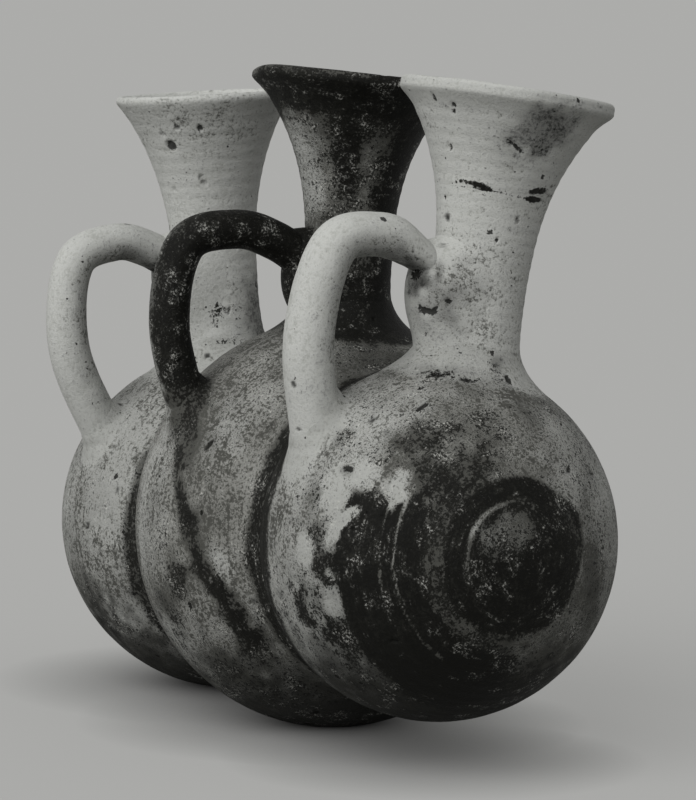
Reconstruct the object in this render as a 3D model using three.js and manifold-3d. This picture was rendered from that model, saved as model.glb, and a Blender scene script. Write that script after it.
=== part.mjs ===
import * as THREE from 'three';
import { mergeVertices } from 'three/addons/utils/BufferGeometryUtils.js';
import Module from 'manifold-3d';

// Three-necked pottery vessel: three wheel-thrown juglets luted in a row.
// Millimetres, +Z up. The row runs along X with the front juglet at +X, and the handles face -Y.
// Each juglet has its own frame: origin at the globe's centre, Z up the neck, handle towards -Y.

const wasm = await Module();
wasm.setup();

// Driving dimensions of the row
const JOINT_GAP = 0.3; // clearance at every luted seat
const ROW_TILT_DEG = 2.5; // the row climbs towards the front juglet
const FRONT_RISE = 0.9; // front globe's centre above the middle globe's axis
const BACK_SIDE_STEP = 0.7; // back globe stands a little out of line, towards the handles
const FRONT_RIM_CLEARANCE = 2.8; // between the front and middle rims
const BACK_RIM_CLEARANCE = 9.0; // between the middle and back rims
const MIDDLE_FLAT_DEPTH = 0.9; // worn flat under the middle globe
const BACK_FLAT_DEPTH = 0.5; // worn flat under the back globe
const WAIST_HALF_WIDTH = 5.2; // clay fillet in the groove between two globes
const WAIST_EDGE = 0.5; // its thickness along both edges
const WAIST_SAG = 1.3; // how far its face dips between the edges

// Driving dimensions of the globes
const GLOBE_WALL = 4.6;
const FRONT_GLOBE_RADIUS = 41.4;
const FRONT_GLOBE_HALF_LENGTH = 39.4;
const MIDDLE_GLOBE_RADIUS = 48.5;
const MIDDLE_GLOBE_HALF_LENGTH = 42.3;
const BACK_GLOBE_RADIUS = 41.4;
const BACK_GLOBE_HALF_LENGTH = 42.8;

// Driving dimensions of the necks, with heights measured from the globe's top
const NECK_WALL = 3.4; // at the throat
const NECK_FOOT_FLARE = 2.2; // how far the neck spreads where it meets the globe
const NECK_FLARE_POWER = 2.65; // how late the funnel opens
const LIP_RADIUS = 1.2;
const RIM_SKEW_DEG = 63; // the side towards which the uneven rims fall, from +X towards +Y
const FRONT_RIM_RADIUS = 24.7;
const FRONT_THROAT_RADIUS = 11.0;
const FRONT_NECK_HEIGHT = 62.3;
const FRONT_THROAT_HEIGHT = 15.6;
const FRONT_LEAN_DEG = 9.8; // towards +Y
const FRONT_RIM_SKEW = 0.6; // how far the rim falls on its low side and rises on its high side
const MIDDLE_RIM_RADIUS = 24.7;
const MIDDLE_THROAT_RADIUS = 10.3;
const MIDDLE_NECK_HEIGHT = 58.2;
const MIDDLE_THROAT_HEIGHT = 11.4;
const MIDDLE_LEAN_DEG = 3.0;
const MIDDLE_RIM_SKEW = 1.5;
const BACK_RIM_RADIUS = 21.5;
const BACK_THROAT_RADIUS = 10.1;
const BACK_NECK_HEIGHT = 63.5;
const BACK_THROAT_HEIGHT = 16.6;
const BACK_LEAN_DEG = -4.0;
const BACK_RIM_SKEW = 0.3;

// Driving dimensions of the clay collars round the necks' feet
const COLLAR_HEIGHT = 8.0;
const COLLAR_EDGE = 0.7; // thickness at the collar's upper edge
const COLLAR_SPREAD = 2.9; // how much thicker the collar is on the globe

// Driving dimensions of the handles: rises from the globe's top, reaches from the neck's axis
const HANDLE_PEAK_SHARE = 0.58; // where the arch peaks between root and limb
const HANDLE_BEND = 0.82; // how square the outer bend is, 0.71 for an ellipse
const HANDLE_RISE_BULGE = 0.72; // how soon the handle climbs from its root
const FRONT_HANDLE_ROOT_RISE = 17.6;
const FRONT_HANDLE_PEAK_RISE = 25.6;
const FRONT_HANDLE_REACH = 40.8;
const FRONT_HANDLE_FOOT_DEG = 22;
const FRONT_HANDLE_ARCH_HALF = 4.9; // half thickness over the arch
const FRONT_HANDLE_LIMB_HALF = 6.1; // half thickness down the limb
const FRONT_HANDLE_HALF_WIDTH = 6.3;
const MIDDLE_HANDLE_ROOT_RISE = 11.6;
const MIDDLE_HANDLE_PEAK_RISE = 20.4;
const MIDDLE_HANDLE_REACH = 45.8;
const MIDDLE_HANDLE_FOOT_DEG = 29;
const MIDDLE_HANDLE_ARCH_HALF = 4.6;
const MIDDLE_HANDLE_LIMB_HALF = 4.8;
const MIDDLE_HANDLE_HALF_WIDTH = 4.9;
const BACK_HANDLE_ROOT_RISE = 20.6;
const BACK_HANDLE_PEAK_RISE = 29.4;
const BACK_HANDLE_REACH = 40.2;
const BACK_HANDLE_FOOT_DEG = 33;
const BACK_HANDLE_ARCH_HALF = 4.4;
const BACK_HANDLE_LIMB_HALF = 5.2;
const BACK_HANDLE_HALF_WIDTH = 5.1;

// Driving dimensions of the clay pressed round the handles' ends: pads on the necks, wads on the globes
const PAD_MARGIN = 1.6; // how far a pad spreads past the handle's sides
const PAD_SPAN_MARGIN = 8.0; // how far it spreads above and below the handle's arch
const PAD_DEPTH = 5.2; // how far it stands out from the neck
const PAD_DROP = 5.0; // its middle below the handle's root
const WAD_MARGIN = 2.2;
const WAD_SPAN_MARGIN = 5.0;
const WAD_THICKNESS = 1.7;
const WAD_BULGE = 3.0; // how steeply a wad's edge ends, in thicknesses

// Mesh fineness
const GLOBE_ROWS = 13;
const GLOBE_SEGMENTS = 36;
const CAVITY_ROWS = 7;
const CAVITY_SEGMENTS = 20;
const NECK_ROWS = 8;
const NECK_SEGMENTS = 24;
const LIP_STEPS = 4;
const COLLAR_ROWS = 3;
const WAIST_ROWS = 4;
const HANDLE_STEPS = 16;
const HANDLE_SIDES = 12;
const PATCH_SEGMENTS = 12;
const PATCH_ROWS = 7;
const FOOT_SEARCH_STEPS = 60;
const SEAM_SEARCH_STEPS = 40;

// Fired clay, from pale slip to dark slip
const CLAY_ROUGHNESS = 0.82;
const GLOBE_CLAY = 0x8d8880;
const PALE_CLAY = 0xcac5bb;
const DARK_CLAY = 0x5b5650;
const LUTING_CLAY = 0x7a756d;

const radians = THREE.MathUtils.degToRad;
const lerp = THREE.MathUtils.lerp;
const tilt = radians(ROW_TILT_DEG);

// Each juglet's sizes, by its place in the row
const front = {
  name: 'front',
  station: MIDDLE_RIM_RADIUS + FRONT_RIM_RADIUS + FRONT_RIM_CLEARANCE,
  radius: FRONT_GLOBE_RADIUS,
  halfLength: FRONT_GLOBE_HALF_LENGTH,
  lean: radians(FRONT_LEAN_DEG),
  rimSkew: FRONT_RIM_SKEW,
  rim: FRONT_RIM_RADIUS,
  throat: FRONT_THROAT_RADIUS,
  neckHeight: FRONT_NECK_HEIGHT,
  throatHeight: FRONT_THROAT_HEIGHT,
  neckClay: PALE_CLAY,
  handleClay: PALE_CLAY,
  handle: {
    rootRise: FRONT_HANDLE_ROOT_RISE,
    peakRise: FRONT_HANDLE_PEAK_RISE,
    reach: FRONT_HANDLE_REACH,
    footAngle: radians(FRONT_HANDLE_FOOT_DEG),
    archHalf: FRONT_HANDLE_ARCH_HALF,
    limbHalf: FRONT_HANDLE_LIMB_HALF,
    halfWidth: FRONT_HANDLE_HALF_WIDTH,
  },
};

const middle = {
  name: 'middle',
  station: 0,
  radius: MIDDLE_GLOBE_RADIUS,
  halfLength: MIDDLE_GLOBE_HALF_LENGTH,
  lean: radians(MIDDLE_LEAN_DEG),
  rimSkew: MIDDLE_RIM_SKEW,
  rim: MIDDLE_RIM_RADIUS,
  throat: MIDDLE_THROAT_RADIUS,
  neckHeight: MIDDLE_NECK_HEIGHT,
  throatHeight: MIDDLE_THROAT_HEIGHT,
  neckClay: DARK_CLAY,
  handleClay: DARK_CLAY,
  handle: {
    rootRise: MIDDLE_HANDLE_ROOT_RISE,
    peakRise: MIDDLE_HANDLE_PEAK_RISE,
    reach: MIDDLE_HANDLE_REACH,
    footAngle: radians(MIDDLE_HANDLE_FOOT_DEG),
    archHalf: MIDDLE_HANDLE_ARCH_HALF,
    limbHalf: MIDDLE_HANDLE_LIMB_HALF,
    halfWidth: MIDDLE_HANDLE_HALF_WIDTH,
  },
};

const back = {
  name: 'back',
  station: -(MIDDLE_RIM_RADIUS + BACK_RIM_RADIUS + BACK_RIM_CLEARANCE),
  radius: BACK_GLOBE_RADIUS,
  halfLength: BACK_GLOBE_HALF_LENGTH,
  lean: radians(BACK_LEAN_DEG),
  rimSkew: BACK_RIM_SKEW,
  rim: BACK_RIM_RADIUS,
  throat: BACK_THROAT_RADIUS,
  neckHeight: BACK_NECK_HEIGHT,
  throatHeight: BACK_THROAT_HEIGHT,
  neckClay: PALE_CLAY,
  handleClay: PALE_CLAY,
  handle: {
    rootRise: BACK_HANDLE_ROOT_RISE,
    peakRise: BACK_HANDLE_PEAK_RISE,
    reach: BACK_HANDLE_REACH,
    footAngle: radians(BACK_HANDLE_FOOT_DEG),
    archHalf: BACK_HANDLE_ARCH_HALF,
    limbHalf: BACK_HANDLE_LIMB_HALF,
    halfWidth: BACK_HANDLE_HALF_WIDTH,
  },
};

const jugs = [front, middle, back];

// Solids and meshes

function solid(geometry) {
  const bare = geometry.clone();
  bare.deleteAttribute('normal');
  bare.deleteAttribute('uv');
  const merged = mergeVertices(bare);
  const mesh = new wasm.Mesh({
    numProp: 3,
    vertProperties: new Float32Array(merged.attributes.position.array),
    triVerts: new Uint32Array(merged.index.array),
  });
  mesh.merge();
  return new wasm.Manifold(mesh);
}

// A trim can leave a sliver of clay behind a seat, so only the main body is kept.
function mainBody(trimmed) {
  const bodies = trimmed.decompose();
  return bodies.reduce((kept, body) => (body.volume() > kept.volume() ? body : kept));
}

function clayMesh(name, body, colour) {
  const mesh = mainBody(body).getMesh();
  const geometry = new THREE.BufferGeometry();
  geometry.setAttribute('position', new THREE.BufferAttribute(mesh.vertProperties, mesh.numProp));
  geometry.setIndex(new THREE.BufferAttribute(mesh.triVerts, 1));
  geometry.computeVertexNormals();
  const material = new THREE.MeshStandardMaterial({
    color: colour,
    roughness: CLAY_ROUGHNESS,
    metalness: 0,
  });
  const piece = new THREE.Mesh(geometry, material);
  piece.name = name;
  return piece;
}

// A revolved form stands on Z, a rowed form lies along X.
function revolved(profile, segments) {
  return new THREE.LatheGeometry(profile, segments).rotateX(Math.PI / 2);
}

function rowed(profile, segments) {
  return new THREE.LatheGeometry(profile, segments).rotateZ(-Math.PI / 2);
}

// Steps from one value to another, both ends included
function steps(from, to, count) {
  return Array.from({ length: count + 1 }, (_, i) => lerp(from, to, i / count));
}

// Globes: shells of revolution about the row, flattened where they press on a neighbour

function globeRadiusAt(jug, offset) {
  return jug.radius * Math.sqrt(1 - (offset / jug.halfLength) ** 2);
}

// Station where two neighbouring globes have the same radius, found by halving the span
function seamStation(lower, upper) {
  let low = upper.station - upper.halfLength;
  let high = lower.station + lower.halfLength;
  for (let i = 0; i < SEAM_SEARCH_STEPS; i += 1) {
    const x = (low + high) / 2;
    const excess = globeRadiusAt(lower, x - lower.station) - globeRadiusAt(upper, x - upper.station);
    if (excess > 0) {
      low = x;
    } else {
      high = x;
    }
  }
  return (low + high) / 2;
}

const frontSeam = seamStation(middle, front);
const backSeam = seamStation(back, middle);

// End walls in each juglet's own frame, or the free pole at the end of the row
front.lowEnd = frontSeam + JOINT_GAP / 2 - front.station;
front.highEnd = front.halfLength;
middle.lowEnd = backSeam + JOINT_GAP / 2 - middle.station;
middle.highEnd = frontSeam - JOINT_GAP / 2 - middle.station;
back.lowEnd = -back.halfLength;
back.highEnd = backSeam - JOINT_GAP / 2 - back.station;

function globeForm(jug, grow, rows, segments) {
  const halfLength = jug.halfLength + grow;
  const lowEnd = Math.max(-halfLength, jug.lowEnd - grow);
  const highEnd = Math.min(halfLength, jug.highEnd + grow);
  const angles = steps(Math.acos(lowEnd / halfLength), Math.acos(highEnd / halfLength), rows);
  const rim = angles.map((angle) => new THREE.Vector2(
    (jug.radius + grow) * Math.sin(angle),
    halfLength * Math.cos(angle),
  ));
  const walled = rim.filter((point) => Math.abs(point.y) < halfLength);
  return rowed([new THREE.Vector2(0, lowEnd), ...walled, new THREE.Vector2(0, highEnd)], segments);
}

// Height of the globe's surface where a ring of this radius sits on its top
function seatHeight(jug, ringRadius) {
  return jug.radius * Math.sqrt(1 - (ringRadius / Math.min(jug.radius, jug.halfLength)) ** 2);
}

// Necks: funnels that spread again at the foot

function neckFoot(jug) {
  return jug.throat + NECK_FOOT_FLARE;
}

function neckOuter(jug, height) {
  const throatAt = jug.radius + jug.throatHeight;
  if (height >= throatAt) {
    const rimAt = jug.radius + jug.neckHeight - LIP_RADIUS;
    const opened = (height - throatAt) / (rimAt - throatAt);
    return jug.throat + (jug.rim - jug.throat) * opened ** NECK_FLARE_POWER;
  }
  const spread = (throatAt - height) / (throatAt - seatHeight(jug, neckFoot(jug)));
  return jug.throat + NECK_FOOT_FLARE * spread ** NECK_FLARE_POWER;
}

// The foot starts inside the globe's wall, and the globe trims it to its own curve.
function neckHeights(jug) {
  const base = seatHeight(jug, neckFoot(jug)) - GLOBE_WALL / 2;
  return steps(base, jug.radius + jug.neckHeight - LIP_RADIUS, NECK_ROWS);
}

// The wall thins from the throat to the lip.
function neckBore(jug, height) {
  const throatAt = jug.radius + jug.throatHeight;
  const rimAt = jug.radius + jug.neckHeight - LIP_RADIUS;
  const thinned = Math.max(0, (height - throatAt) / (rimAt - throatAt));
  return neckOuter(jug, height) - lerp(NECK_WALL, 2 * LIP_RADIUS, thinned);
}

function neckForm(jug) {
  const heights = neckHeights(jug);
  const outer = heights.map((height) => new THREE.Vector2(neckOuter(jug, height), height));
  const rimAt = heights[heights.length - 1];
  const lip = steps(0, Math.PI, LIP_STEPS).slice(1, -1).map((angle) => new THREE.Vector2(
    jug.rim - LIP_RADIUS + LIP_RADIUS * Math.cos(angle),
    rimAt + LIP_RADIUS * Math.sin(angle),
  ));
  const bore = heights.map((height) => new THREE.Vector2(neckBore(jug, height), height)).reverse();
  return skewed(jug, revolved([...outer, ...lip, ...bore, outer[0]], NECK_SEGMENTS));
}

// A hand-turned rim isn't level: the funnel rises on one side and falls on the other, most at the lip.
function skewed(jug, geometry) {
  const throatAt = jug.radius + jug.throatHeight;
  const rimAt = jug.radius + jug.neckHeight - LIP_RADIUS;
  const fall = new THREE.Vector2(Math.cos(radians(RIM_SKEW_DEG)), Math.sin(radians(RIM_SKEW_DEG)));
  const position = geometry.attributes.position;
  for (let i = 0; i < position.count; i += 1) {
    const height = position.getZ(i);
    const opened = Math.max(0, (height - throatAt) / (rimAt - throatAt));
    const aside = fall.dot(new THREE.Vector2(position.getX(i), position.getY(i))) / jug.rim;
    position.setZ(i, height - jug.rimSkew * aside * opened);
  }
  return geometry;
}

// The neck as a plug without its bore, used to trim what is pressed on it
function neckPlug(jug, grow) {
  const heights = neckHeights(jug);
  const outer = heights.map((height) => new THREE.Vector2(neckOuter(jug, height) + grow, height));
  const bottom = new THREE.Vector2(0, heights[0]);
  const top = new THREE.Vector2(0, heights[heights.length - 1]);
  return revolved([bottom, ...outer, top], NECK_SEGMENTS);
}

function mouthHole(jug) {
  const seat = seatHeight(jug, neckFoot(jug));
  return new THREE.CylinderGeometry(neckBore(jug, seat), neckBore(jug, seat), jug.radius, CAVITY_SEGMENTS)
    .rotateX(Math.PI / 2)
    .translate(0, 0, jug.radius);
}

// Collars: clay smeared round the neck's foot, thickest on the globe

function collarOuter(jug, height, grow) {
  const seat = seatHeight(jug, neckFoot(jug));
  const down = (seat + COLLAR_HEIGHT - height) / COLLAR_HEIGHT;
  return neckOuter(jug, height) + JOINT_GAP + COLLAR_EDGE + COLLAR_SPREAD * down ** 2 + grow;
}

function collarHeights(jug) {
  const seat = seatHeight(jug, neckFoot(jug));
  return steps(seat - GLOBE_WALL, seat + COLLAR_HEIGHT, COLLAR_ROWS);
}

function collarForm(jug) {
  const heights = collarHeights(jug);
  const outer = heights.map((height) => new THREE.Vector2(collarOuter(jug, height, 0), height));
  const inner = heights.map((height) => new THREE.Vector2(neckOuter(jug, height) + JOINT_GAP, height));
  return revolved([...outer, ...inner.reverse(), outer[0]], NECK_SEGMENTS);
}

// The collar as a plug that reaches down through the globe's wall, so nothing is left beneath its foot
function collarPlug(jug, grow) {
  const heights = collarHeights(jug);
  const outer = heights.map((height) => new THREE.Vector2(collarOuter(jug, height, grow), height));
  const sunk = heights[0] - GLOBE_WALL;
  const bottom = [new THREE.Vector2(0, sunk), new THREE.Vector2(outer[0].x, sunk)];
  const top = new THREE.Vector2(0, heights[heights.length - 1] + grow);
  return revolved([...bottom, ...outer, top], NECK_SEGMENTS);
}

// Handles: pulled loops that leave the neck, arch over and run down into the shoulder

function handlePath(jug) {
  const { handle } = jug;
  const rootAt = jug.radius + handle.rootRise;
  const peakAt = jug.radius + handle.peakRise;
  const rootOut = neckOuter(jug, rootAt) - NECK_WALL / 2;
  const peakOut = lerp(rootOut, handle.reach, HANDLE_PEAK_SHARE);
  const footDepth = jug.radius - handle.limbHalf;
  const footOut = footDepth * Math.cos(handle.footAngle);
  const footAt = footDepth * Math.sin(handle.footAngle);
  const limbAt = (peakAt + footAt) / 2;
  const route = [
    [rootOut, rootAt],
    [(rootOut + peakOut) / 2, lerp(rootAt, peakAt, HANDLE_RISE_BULGE)],
    [peakOut, peakAt],
    [lerp(peakOut, handle.reach, HANDLE_BEND), lerp(limbAt, peakAt, HANDLE_BEND)],
    [handle.reach, limbAt],
    [footOut, footAt],
  ];
  return new THREE.CatmullRomCurve3(route.map(([out, height]) => new THREE.Vector3(0, -out, height)));
}

// The loop swells from the arch down to the limb, so each ring of the tube is scaled about the path.
function handleForm(jug, grow) {
  const { handle } = jug;
  const path = handlePath(jug);
  const section = new THREE.Shape().absellipse(
    0,
    0,
    handle.halfWidth + grow,
    handle.archHalf + grow,
    0,
    2 * Math.PI,
  );
  const tube = new THREE.ExtrudeGeometry(section, {
    steps: HANDLE_STEPS,
    curveSegments: HANDLE_SIDES / 2,
    bevelEnabled: false,
    extrudePath: path,
  });
  const rings = path.getSpacedPoints(HANDLE_STEPS);
  const position = tube.attributes.position;
  const point = new THREE.Vector3();
  for (let i = 0; i < position.count; i += 1) {
    point.fromBufferAttribute(position, i);
    const spans = rings.map((ring) => ring.distanceToSquared(point));
    const nearest = spans.indexOf(Math.min(...spans));
    const swell = THREE.MathUtils.smoothstep(nearest / HANDLE_STEPS, 0, 1);
    const thick = lerp(handle.archHalf + grow, handle.limbHalf + grow, swell) / (handle.archHalf + grow);
    position.setY(i, lerp(rings[nearest].y, point.y, thick));
    position.setZ(i, lerp(rings[nearest].z, point.z, thick));
  }
  return tube;
}

// Clay pressed round a handle's end: half sizes along X, out from the seat and along it
function patch(halfWidth, halfDepth, halfSpan) {
  return new THREE.SphereGeometry(1, PATCH_SEGMENTS, PATCH_ROWS).scale(halfWidth, halfDepth, halfSpan);
}

// A pad fills the corner under the handle's root, so it hangs lower than the root.
function padForm(jug) {
  const { handle } = jug;
  const middleAt = jug.radius + handle.rootRise - PAD_DROP;
  return patch(handle.halfWidth + PAD_MARGIN, PAD_DEPTH, handle.archHalf + PAD_SPAN_MARGIN)
    .translate(0, -neckOuter(jug, middleAt), middleAt);
}

// Where the handle's centre line runs into the globe
function handleFoot(jug) {
  const route = handlePath(jug).getPoints(FOOT_SEARCH_STEPS);
  return route.find((point, i) => i > FOOT_SEARCH_STEPS / 2 && point.length() < jug.radius);
}

function wadForm(jug) {
  const { handle } = jug;
  const foot = handleFoot(jug);
  return patch(handle.halfWidth + WAD_MARGIN, WAD_BULGE * WAD_THICKNESS, handle.limbHalf + WAD_SPAN_MARGIN)
    .rotateX(-Math.atan2(foot.z, -foot.y))
    .translate(foot.x, foot.y, foot.z);
}

// Waist fillets: rings of clay in the groove between two globes, in the row's frame

function waistForm(lower, upper, seam) {
  const low = seam - WAIST_HALF_WIDTH;
  const high = seam + WAIST_HALF_WIDTH;
  const lowRadius = globeRadiusAt(lower, low - lower.station) + JOINT_GAP + WAIST_EDGE;
  const highRadius = globeRadiusAt(upper, high - upper.station) + JOINT_GAP + WAIST_EDGE;
  const seamRadius = globeRadiusAt(lower, seam - lower.station);
  const floor = seamRadius - WAIST_HALF_WIDTH;
  const face = steps(0, 1, WAIST_ROWS).map((share) => new THREE.Vector2(
    lerp(lowRadius, highRadius, share) - WAIST_SAG * Math.sin(Math.PI * share),
    lerp(low, high, share),
  ));
  const start = new THREE.Vector2(floor, low);
  return rowed([start, ...face, new THREE.Vector2(floor, high), start], GLOBE_SEGMENTS);
}

// Assembly: the row stands on the worn flats under the middle and back globes

function restHeight(jug) {
  return Math.hypot(jug.radius * Math.cos(tilt), jug.halfLength * Math.sin(tilt));
}

const middleHeight = restHeight(middle) - MIDDLE_FLAT_DEPTH;
const backHeight = restHeight(back) - BACK_FLAT_DEPTH;
const backDrop = (backHeight - middleHeight - back.station * Math.sin(tilt)) / Math.cos(tilt);
front.centre = new THREE.Vector3(front.station, 0, FRONT_RISE);
middle.centre = new THREE.Vector3(middle.station, 0, 0);
back.centre = new THREE.Vector3(back.station, -BACK_SIDE_STEP, backDrop);

const row = new THREE.Group();
row.name = 'juglet_row';
row.rotation.y = -tilt;
row.position.z = middleHeight;

for (const jug of jugs) {
  jug.group = new THREE.Group();
  jug.group.name = `${jug.name}_juglet`;
  jug.group.position.copy(jug.centre);
  jug.group.rotation.x = -jug.lean;
  row.add(jug.group);
}
row.updateMatrixWorld(true);

// Everything below the standing surface, seen from a juglet's own frame
function groundBlock(jug) {
  const size = 2 * (jug.radius + jug.halfLength);
  return new THREE.BoxGeometry(size, size, size)
    .translate(jug.centre.x, jug.centre.y, -size / 2)
    .applyMatrix4(jug.group.matrixWorld.clone().invert());
}

for (const jug of jugs) {
  const hull = solid(globeForm(jug, 0, GLOBE_ROWS, GLOBE_SEGMENTS));
  const globe = hull
    .subtract(solid(globeForm(jug, -GLOBE_WALL, CAVITY_ROWS, CAVITY_SEGMENTS)))
    .subtract(solid(mouthHole(jug)))
    .subtract(solid(groundBlock(jug)));
  jug.clearGlobe = solid(globeForm(jug, JOINT_GAP, GLOBE_ROWS, GLOBE_SEGMENTS));
  const clearNeck = solid(neckPlug(jug, JOINT_GAP));
  jug.clearCollar = solid(collarPlug(jug, JOINT_GAP));
  const clearHandle = solid(handleForm(jug, JOINT_GAP));
  const wadSkin = solid(globeForm(jug, JOINT_GAP + WAD_THICKNESS, GLOBE_ROWS, GLOBE_SEGMENTS));
  const neck = solid(neckForm(jug)).subtract(jug.clearGlobe);
  const collar = solid(collarForm(jug)).subtract(jug.clearGlobe);
  const handle = solid(handleForm(jug, 0))
    .subtract(jug.clearGlobe)
    .subtract(clearNeck)
    .subtract(jug.clearCollar);
  const pad = solid(padForm(jug))
    .subtract(clearNeck)
    .subtract(jug.clearCollar)
    .subtract(jug.clearGlobe)
    .subtract(clearHandle);
  const wad = solid(wadForm(jug)).intersect(wadSkin).subtract(jug.clearGlobe).subtract(clearHandle);
  jug.group.add(
    clayMesh(`${jug.name}_globe`, globe, GLOBE_CLAY),
    clayMesh(`${jug.name}_neck`, neck, jug.neckClay),
    clayMesh(`${jug.name}_neck_collar`, collar, LUTING_CLAY),
    clayMesh(`${jug.name}_handle`, handle, jug.handleClay),
    clayMesh(`${jug.name}_handle_pad`, pad, jug.handleClay),
    clayMesh(`${jug.name}_handle_wad`, wad, LUTING_CLAY),
  );
}

// A juglet's form moved into the row's frame
function inRow(jug, body) {
  return body.transform(jug.group.matrix.elements);
}

// The two globes aren't quite in line, so the ring between them is sheared from one to the other.
function waistMesh(name, lower, upper, seam) {
  const low = seam - WAIST_HALF_WIDTH;
  const step = upper.centre.clone().sub(lower.centre).divideScalar(2 * WAIST_HALF_WIDTH);
  const ring = waistForm(lower, upper, seam)
    .translate(-low, 0, 0)
    .applyMatrix4(new THREE.Matrix4().makeShear(step.y, step.z, 0, 0, 0, 0))
    .translate(low, lower.centre.y, lower.centre.z);
  const trimmed = [lower, upper].reduce(
    (body, jug) => body.subtract(inRow(jug, jug.clearGlobe)).subtract(inRow(jug, jug.clearCollar)),
    solid(ring),
  );
  return clayMesh(name, trimmed, LUTING_CLAY);
}

row.add(
  waistMesh('front_waist_fillet', middle, front, frontSeam),
  waistMesh('back_waist_fillet', back, middle, backSeam),
);

// The vessel's origin is under the middle of its outer box, on the standing surface.
const vessel = new THREE.Group();
vessel.name = 'three_necked_vessel';
vessel.add(row);
const middleOfBox = new THREE.Box3().setFromObject(vessel, true).getCenter(new THREE.Vector3());
row.position.x -= middleOfBox.x;
row.position.y -= middleOfBox.y;
vessel.updateMatrixWorld(true);

export default vessel;
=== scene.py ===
"""Dresses the three-necked pottery vessel: three luted juglets in worn pale and dark slip."""

import logging
import math
from collections.abc import Callable
from dataclasses import dataclass, fields, replace
from enum import Enum

import bpy
import numpy as np
from mathutils import Matrix, Vector


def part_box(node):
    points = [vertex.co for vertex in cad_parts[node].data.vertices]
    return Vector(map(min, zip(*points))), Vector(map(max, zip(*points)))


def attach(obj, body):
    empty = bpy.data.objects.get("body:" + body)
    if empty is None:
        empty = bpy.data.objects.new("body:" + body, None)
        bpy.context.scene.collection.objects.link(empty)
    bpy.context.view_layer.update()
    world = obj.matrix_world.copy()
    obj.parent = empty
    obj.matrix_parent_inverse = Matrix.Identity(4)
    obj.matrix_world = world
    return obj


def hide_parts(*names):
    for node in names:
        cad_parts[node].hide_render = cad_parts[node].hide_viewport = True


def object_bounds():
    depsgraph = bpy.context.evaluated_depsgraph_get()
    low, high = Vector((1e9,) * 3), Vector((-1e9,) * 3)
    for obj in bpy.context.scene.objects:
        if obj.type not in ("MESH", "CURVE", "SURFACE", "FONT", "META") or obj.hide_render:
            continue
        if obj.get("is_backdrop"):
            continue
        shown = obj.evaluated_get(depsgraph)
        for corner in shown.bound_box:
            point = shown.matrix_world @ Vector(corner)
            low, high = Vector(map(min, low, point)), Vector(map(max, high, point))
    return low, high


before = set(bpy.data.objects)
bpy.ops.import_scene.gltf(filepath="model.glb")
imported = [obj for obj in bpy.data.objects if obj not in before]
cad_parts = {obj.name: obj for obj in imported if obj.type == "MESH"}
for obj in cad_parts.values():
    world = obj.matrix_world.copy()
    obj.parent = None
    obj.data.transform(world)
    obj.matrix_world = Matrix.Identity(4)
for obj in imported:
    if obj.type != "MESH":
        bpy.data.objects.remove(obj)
CAD_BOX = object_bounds()

LOG = logging.getLogger("three_necked_vessel")
BODY = "root"
MM = 0.001  # millimetres to metres

# Fineness of the meshes: columns run round a form and rows run along it
GLOBE_COLUMNS = 384
GLOBE_ROWS = 172
CAVITY_ROWS = 34
NECK_COLUMNS = 260
NECK_ROWS = 150
LIP_ROWS = 14
BORE_ROWS = 40
COLLAR_ROWS = 30
PATCH_COLUMNS = 120
PATCH_ROWS = 40
PATCH_BACK_STRIDE = 8
PATCH_LIFTS = 46
PATH_STRIDE = 5
WAIST_COLUMNS = 400
WAIST_ROWS = 22
HANDLE_STEPS = 260
HANDLE_SIDES = 80
PATH_SAMPLES = 40
SEAM_SEARCH_STEPS = 40
NEARLY_NOUGHT = 1e-6
SLOPE_STEP = 1.0  # millimetres between the two heights that a slope is read from

# How the luted pieces sink into each other, in millimetres
FEATHER = 0.2  # depth of a smeared edge below the surface that it is smeared on
FEATHER_POWER = 8  # how close to the edge it starts to sink
EASE_POWER = 4  # how close to the edge pressed clay starts to thin out
BURIED = 1.4  # depth of a smeared piece's hidden side

# Large primes and shifts that scatter the cells of the noise, and the range of what they give
HASH_CELL = np.array([73856093, 19349663, 83492791])
HASH_SEED = 2654435761
HASH_MIXES = ((15, 2246822519), (13, 3266489917))
HASH_LAST_SHIFT = 16
HASH_LIMIT = 0xFFFFFFFF

HALF_TURN = 180.0  # degrees
FULL_TURN = 360.0
PERCENT = 100.0
NOISE_MIDDLE = 0.5  # of a noise node, which gives 0 to 1
MIX_FROM, MIX_TO, MIX_RESULT = 6, 7, 2  # the colour sockets of a Mix node

Array = np.ndarray
Faces = list[tuple[int, ...]]


class Place(Enum):
    """The three juglets by their place in the row."""

    FRONT = "front"
    MIDDLE = "middle"
    BACK = "back"


class Channel(Enum):
    """What a painted mark is made of, by the name of its mesh attribute."""

    SLIP = "slip"
    CHALK = "chalk"
    # Dark staining, and also painted shade: under the globes, on sides turned from the light and where parts
    # crowd together
    SOOT = "soot"
    SCAR = "scar"


class Slot(Enum):
    """The record's material slots."""

    BANDED = "banded_slip"
    PALE = "pale_slip"
    DARK = "dark_slip"
    LUTING = "luting_clay"


SLIP, CHALK, SOOT, SCAR = Channel
Levels = dict[Channel, Array]


def smooth(value: Array, low: float, high: float) -> Array:
    """Eases from 0 at low to 1 at high.

    Args:
        value: Values to ease.
        low: Where the result is still 0.
        high: Where the result has become 1.

    Returns:
        The eased values, from 0 to 1.
    """
    share = np.clip((value - low) / (high - low), 0.0, 1.0)
    return share * share * (3.0 - 2.0 * share)


def band(value: Array, low: float, high: float, soft: float) -> Array:
    """Weight of a band between low and high whose edges fade over soft."""
    return smooth(value, low - soft, low + soft) * (1.0 - smooth(value, high - soft, high + soft))


def lerp(low: float | Array, high: float | Array, share: float | Array) -> float | Array:
    """Value at a share of the way from low to high."""
    return low + (high - low) * share


def turn_gap(first: Array, second: float) -> Array:
    """Smallest difference between two directions, in degrees."""
    return (first - second + HALF_TURN) % FULL_TURN - HALF_TURN


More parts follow.
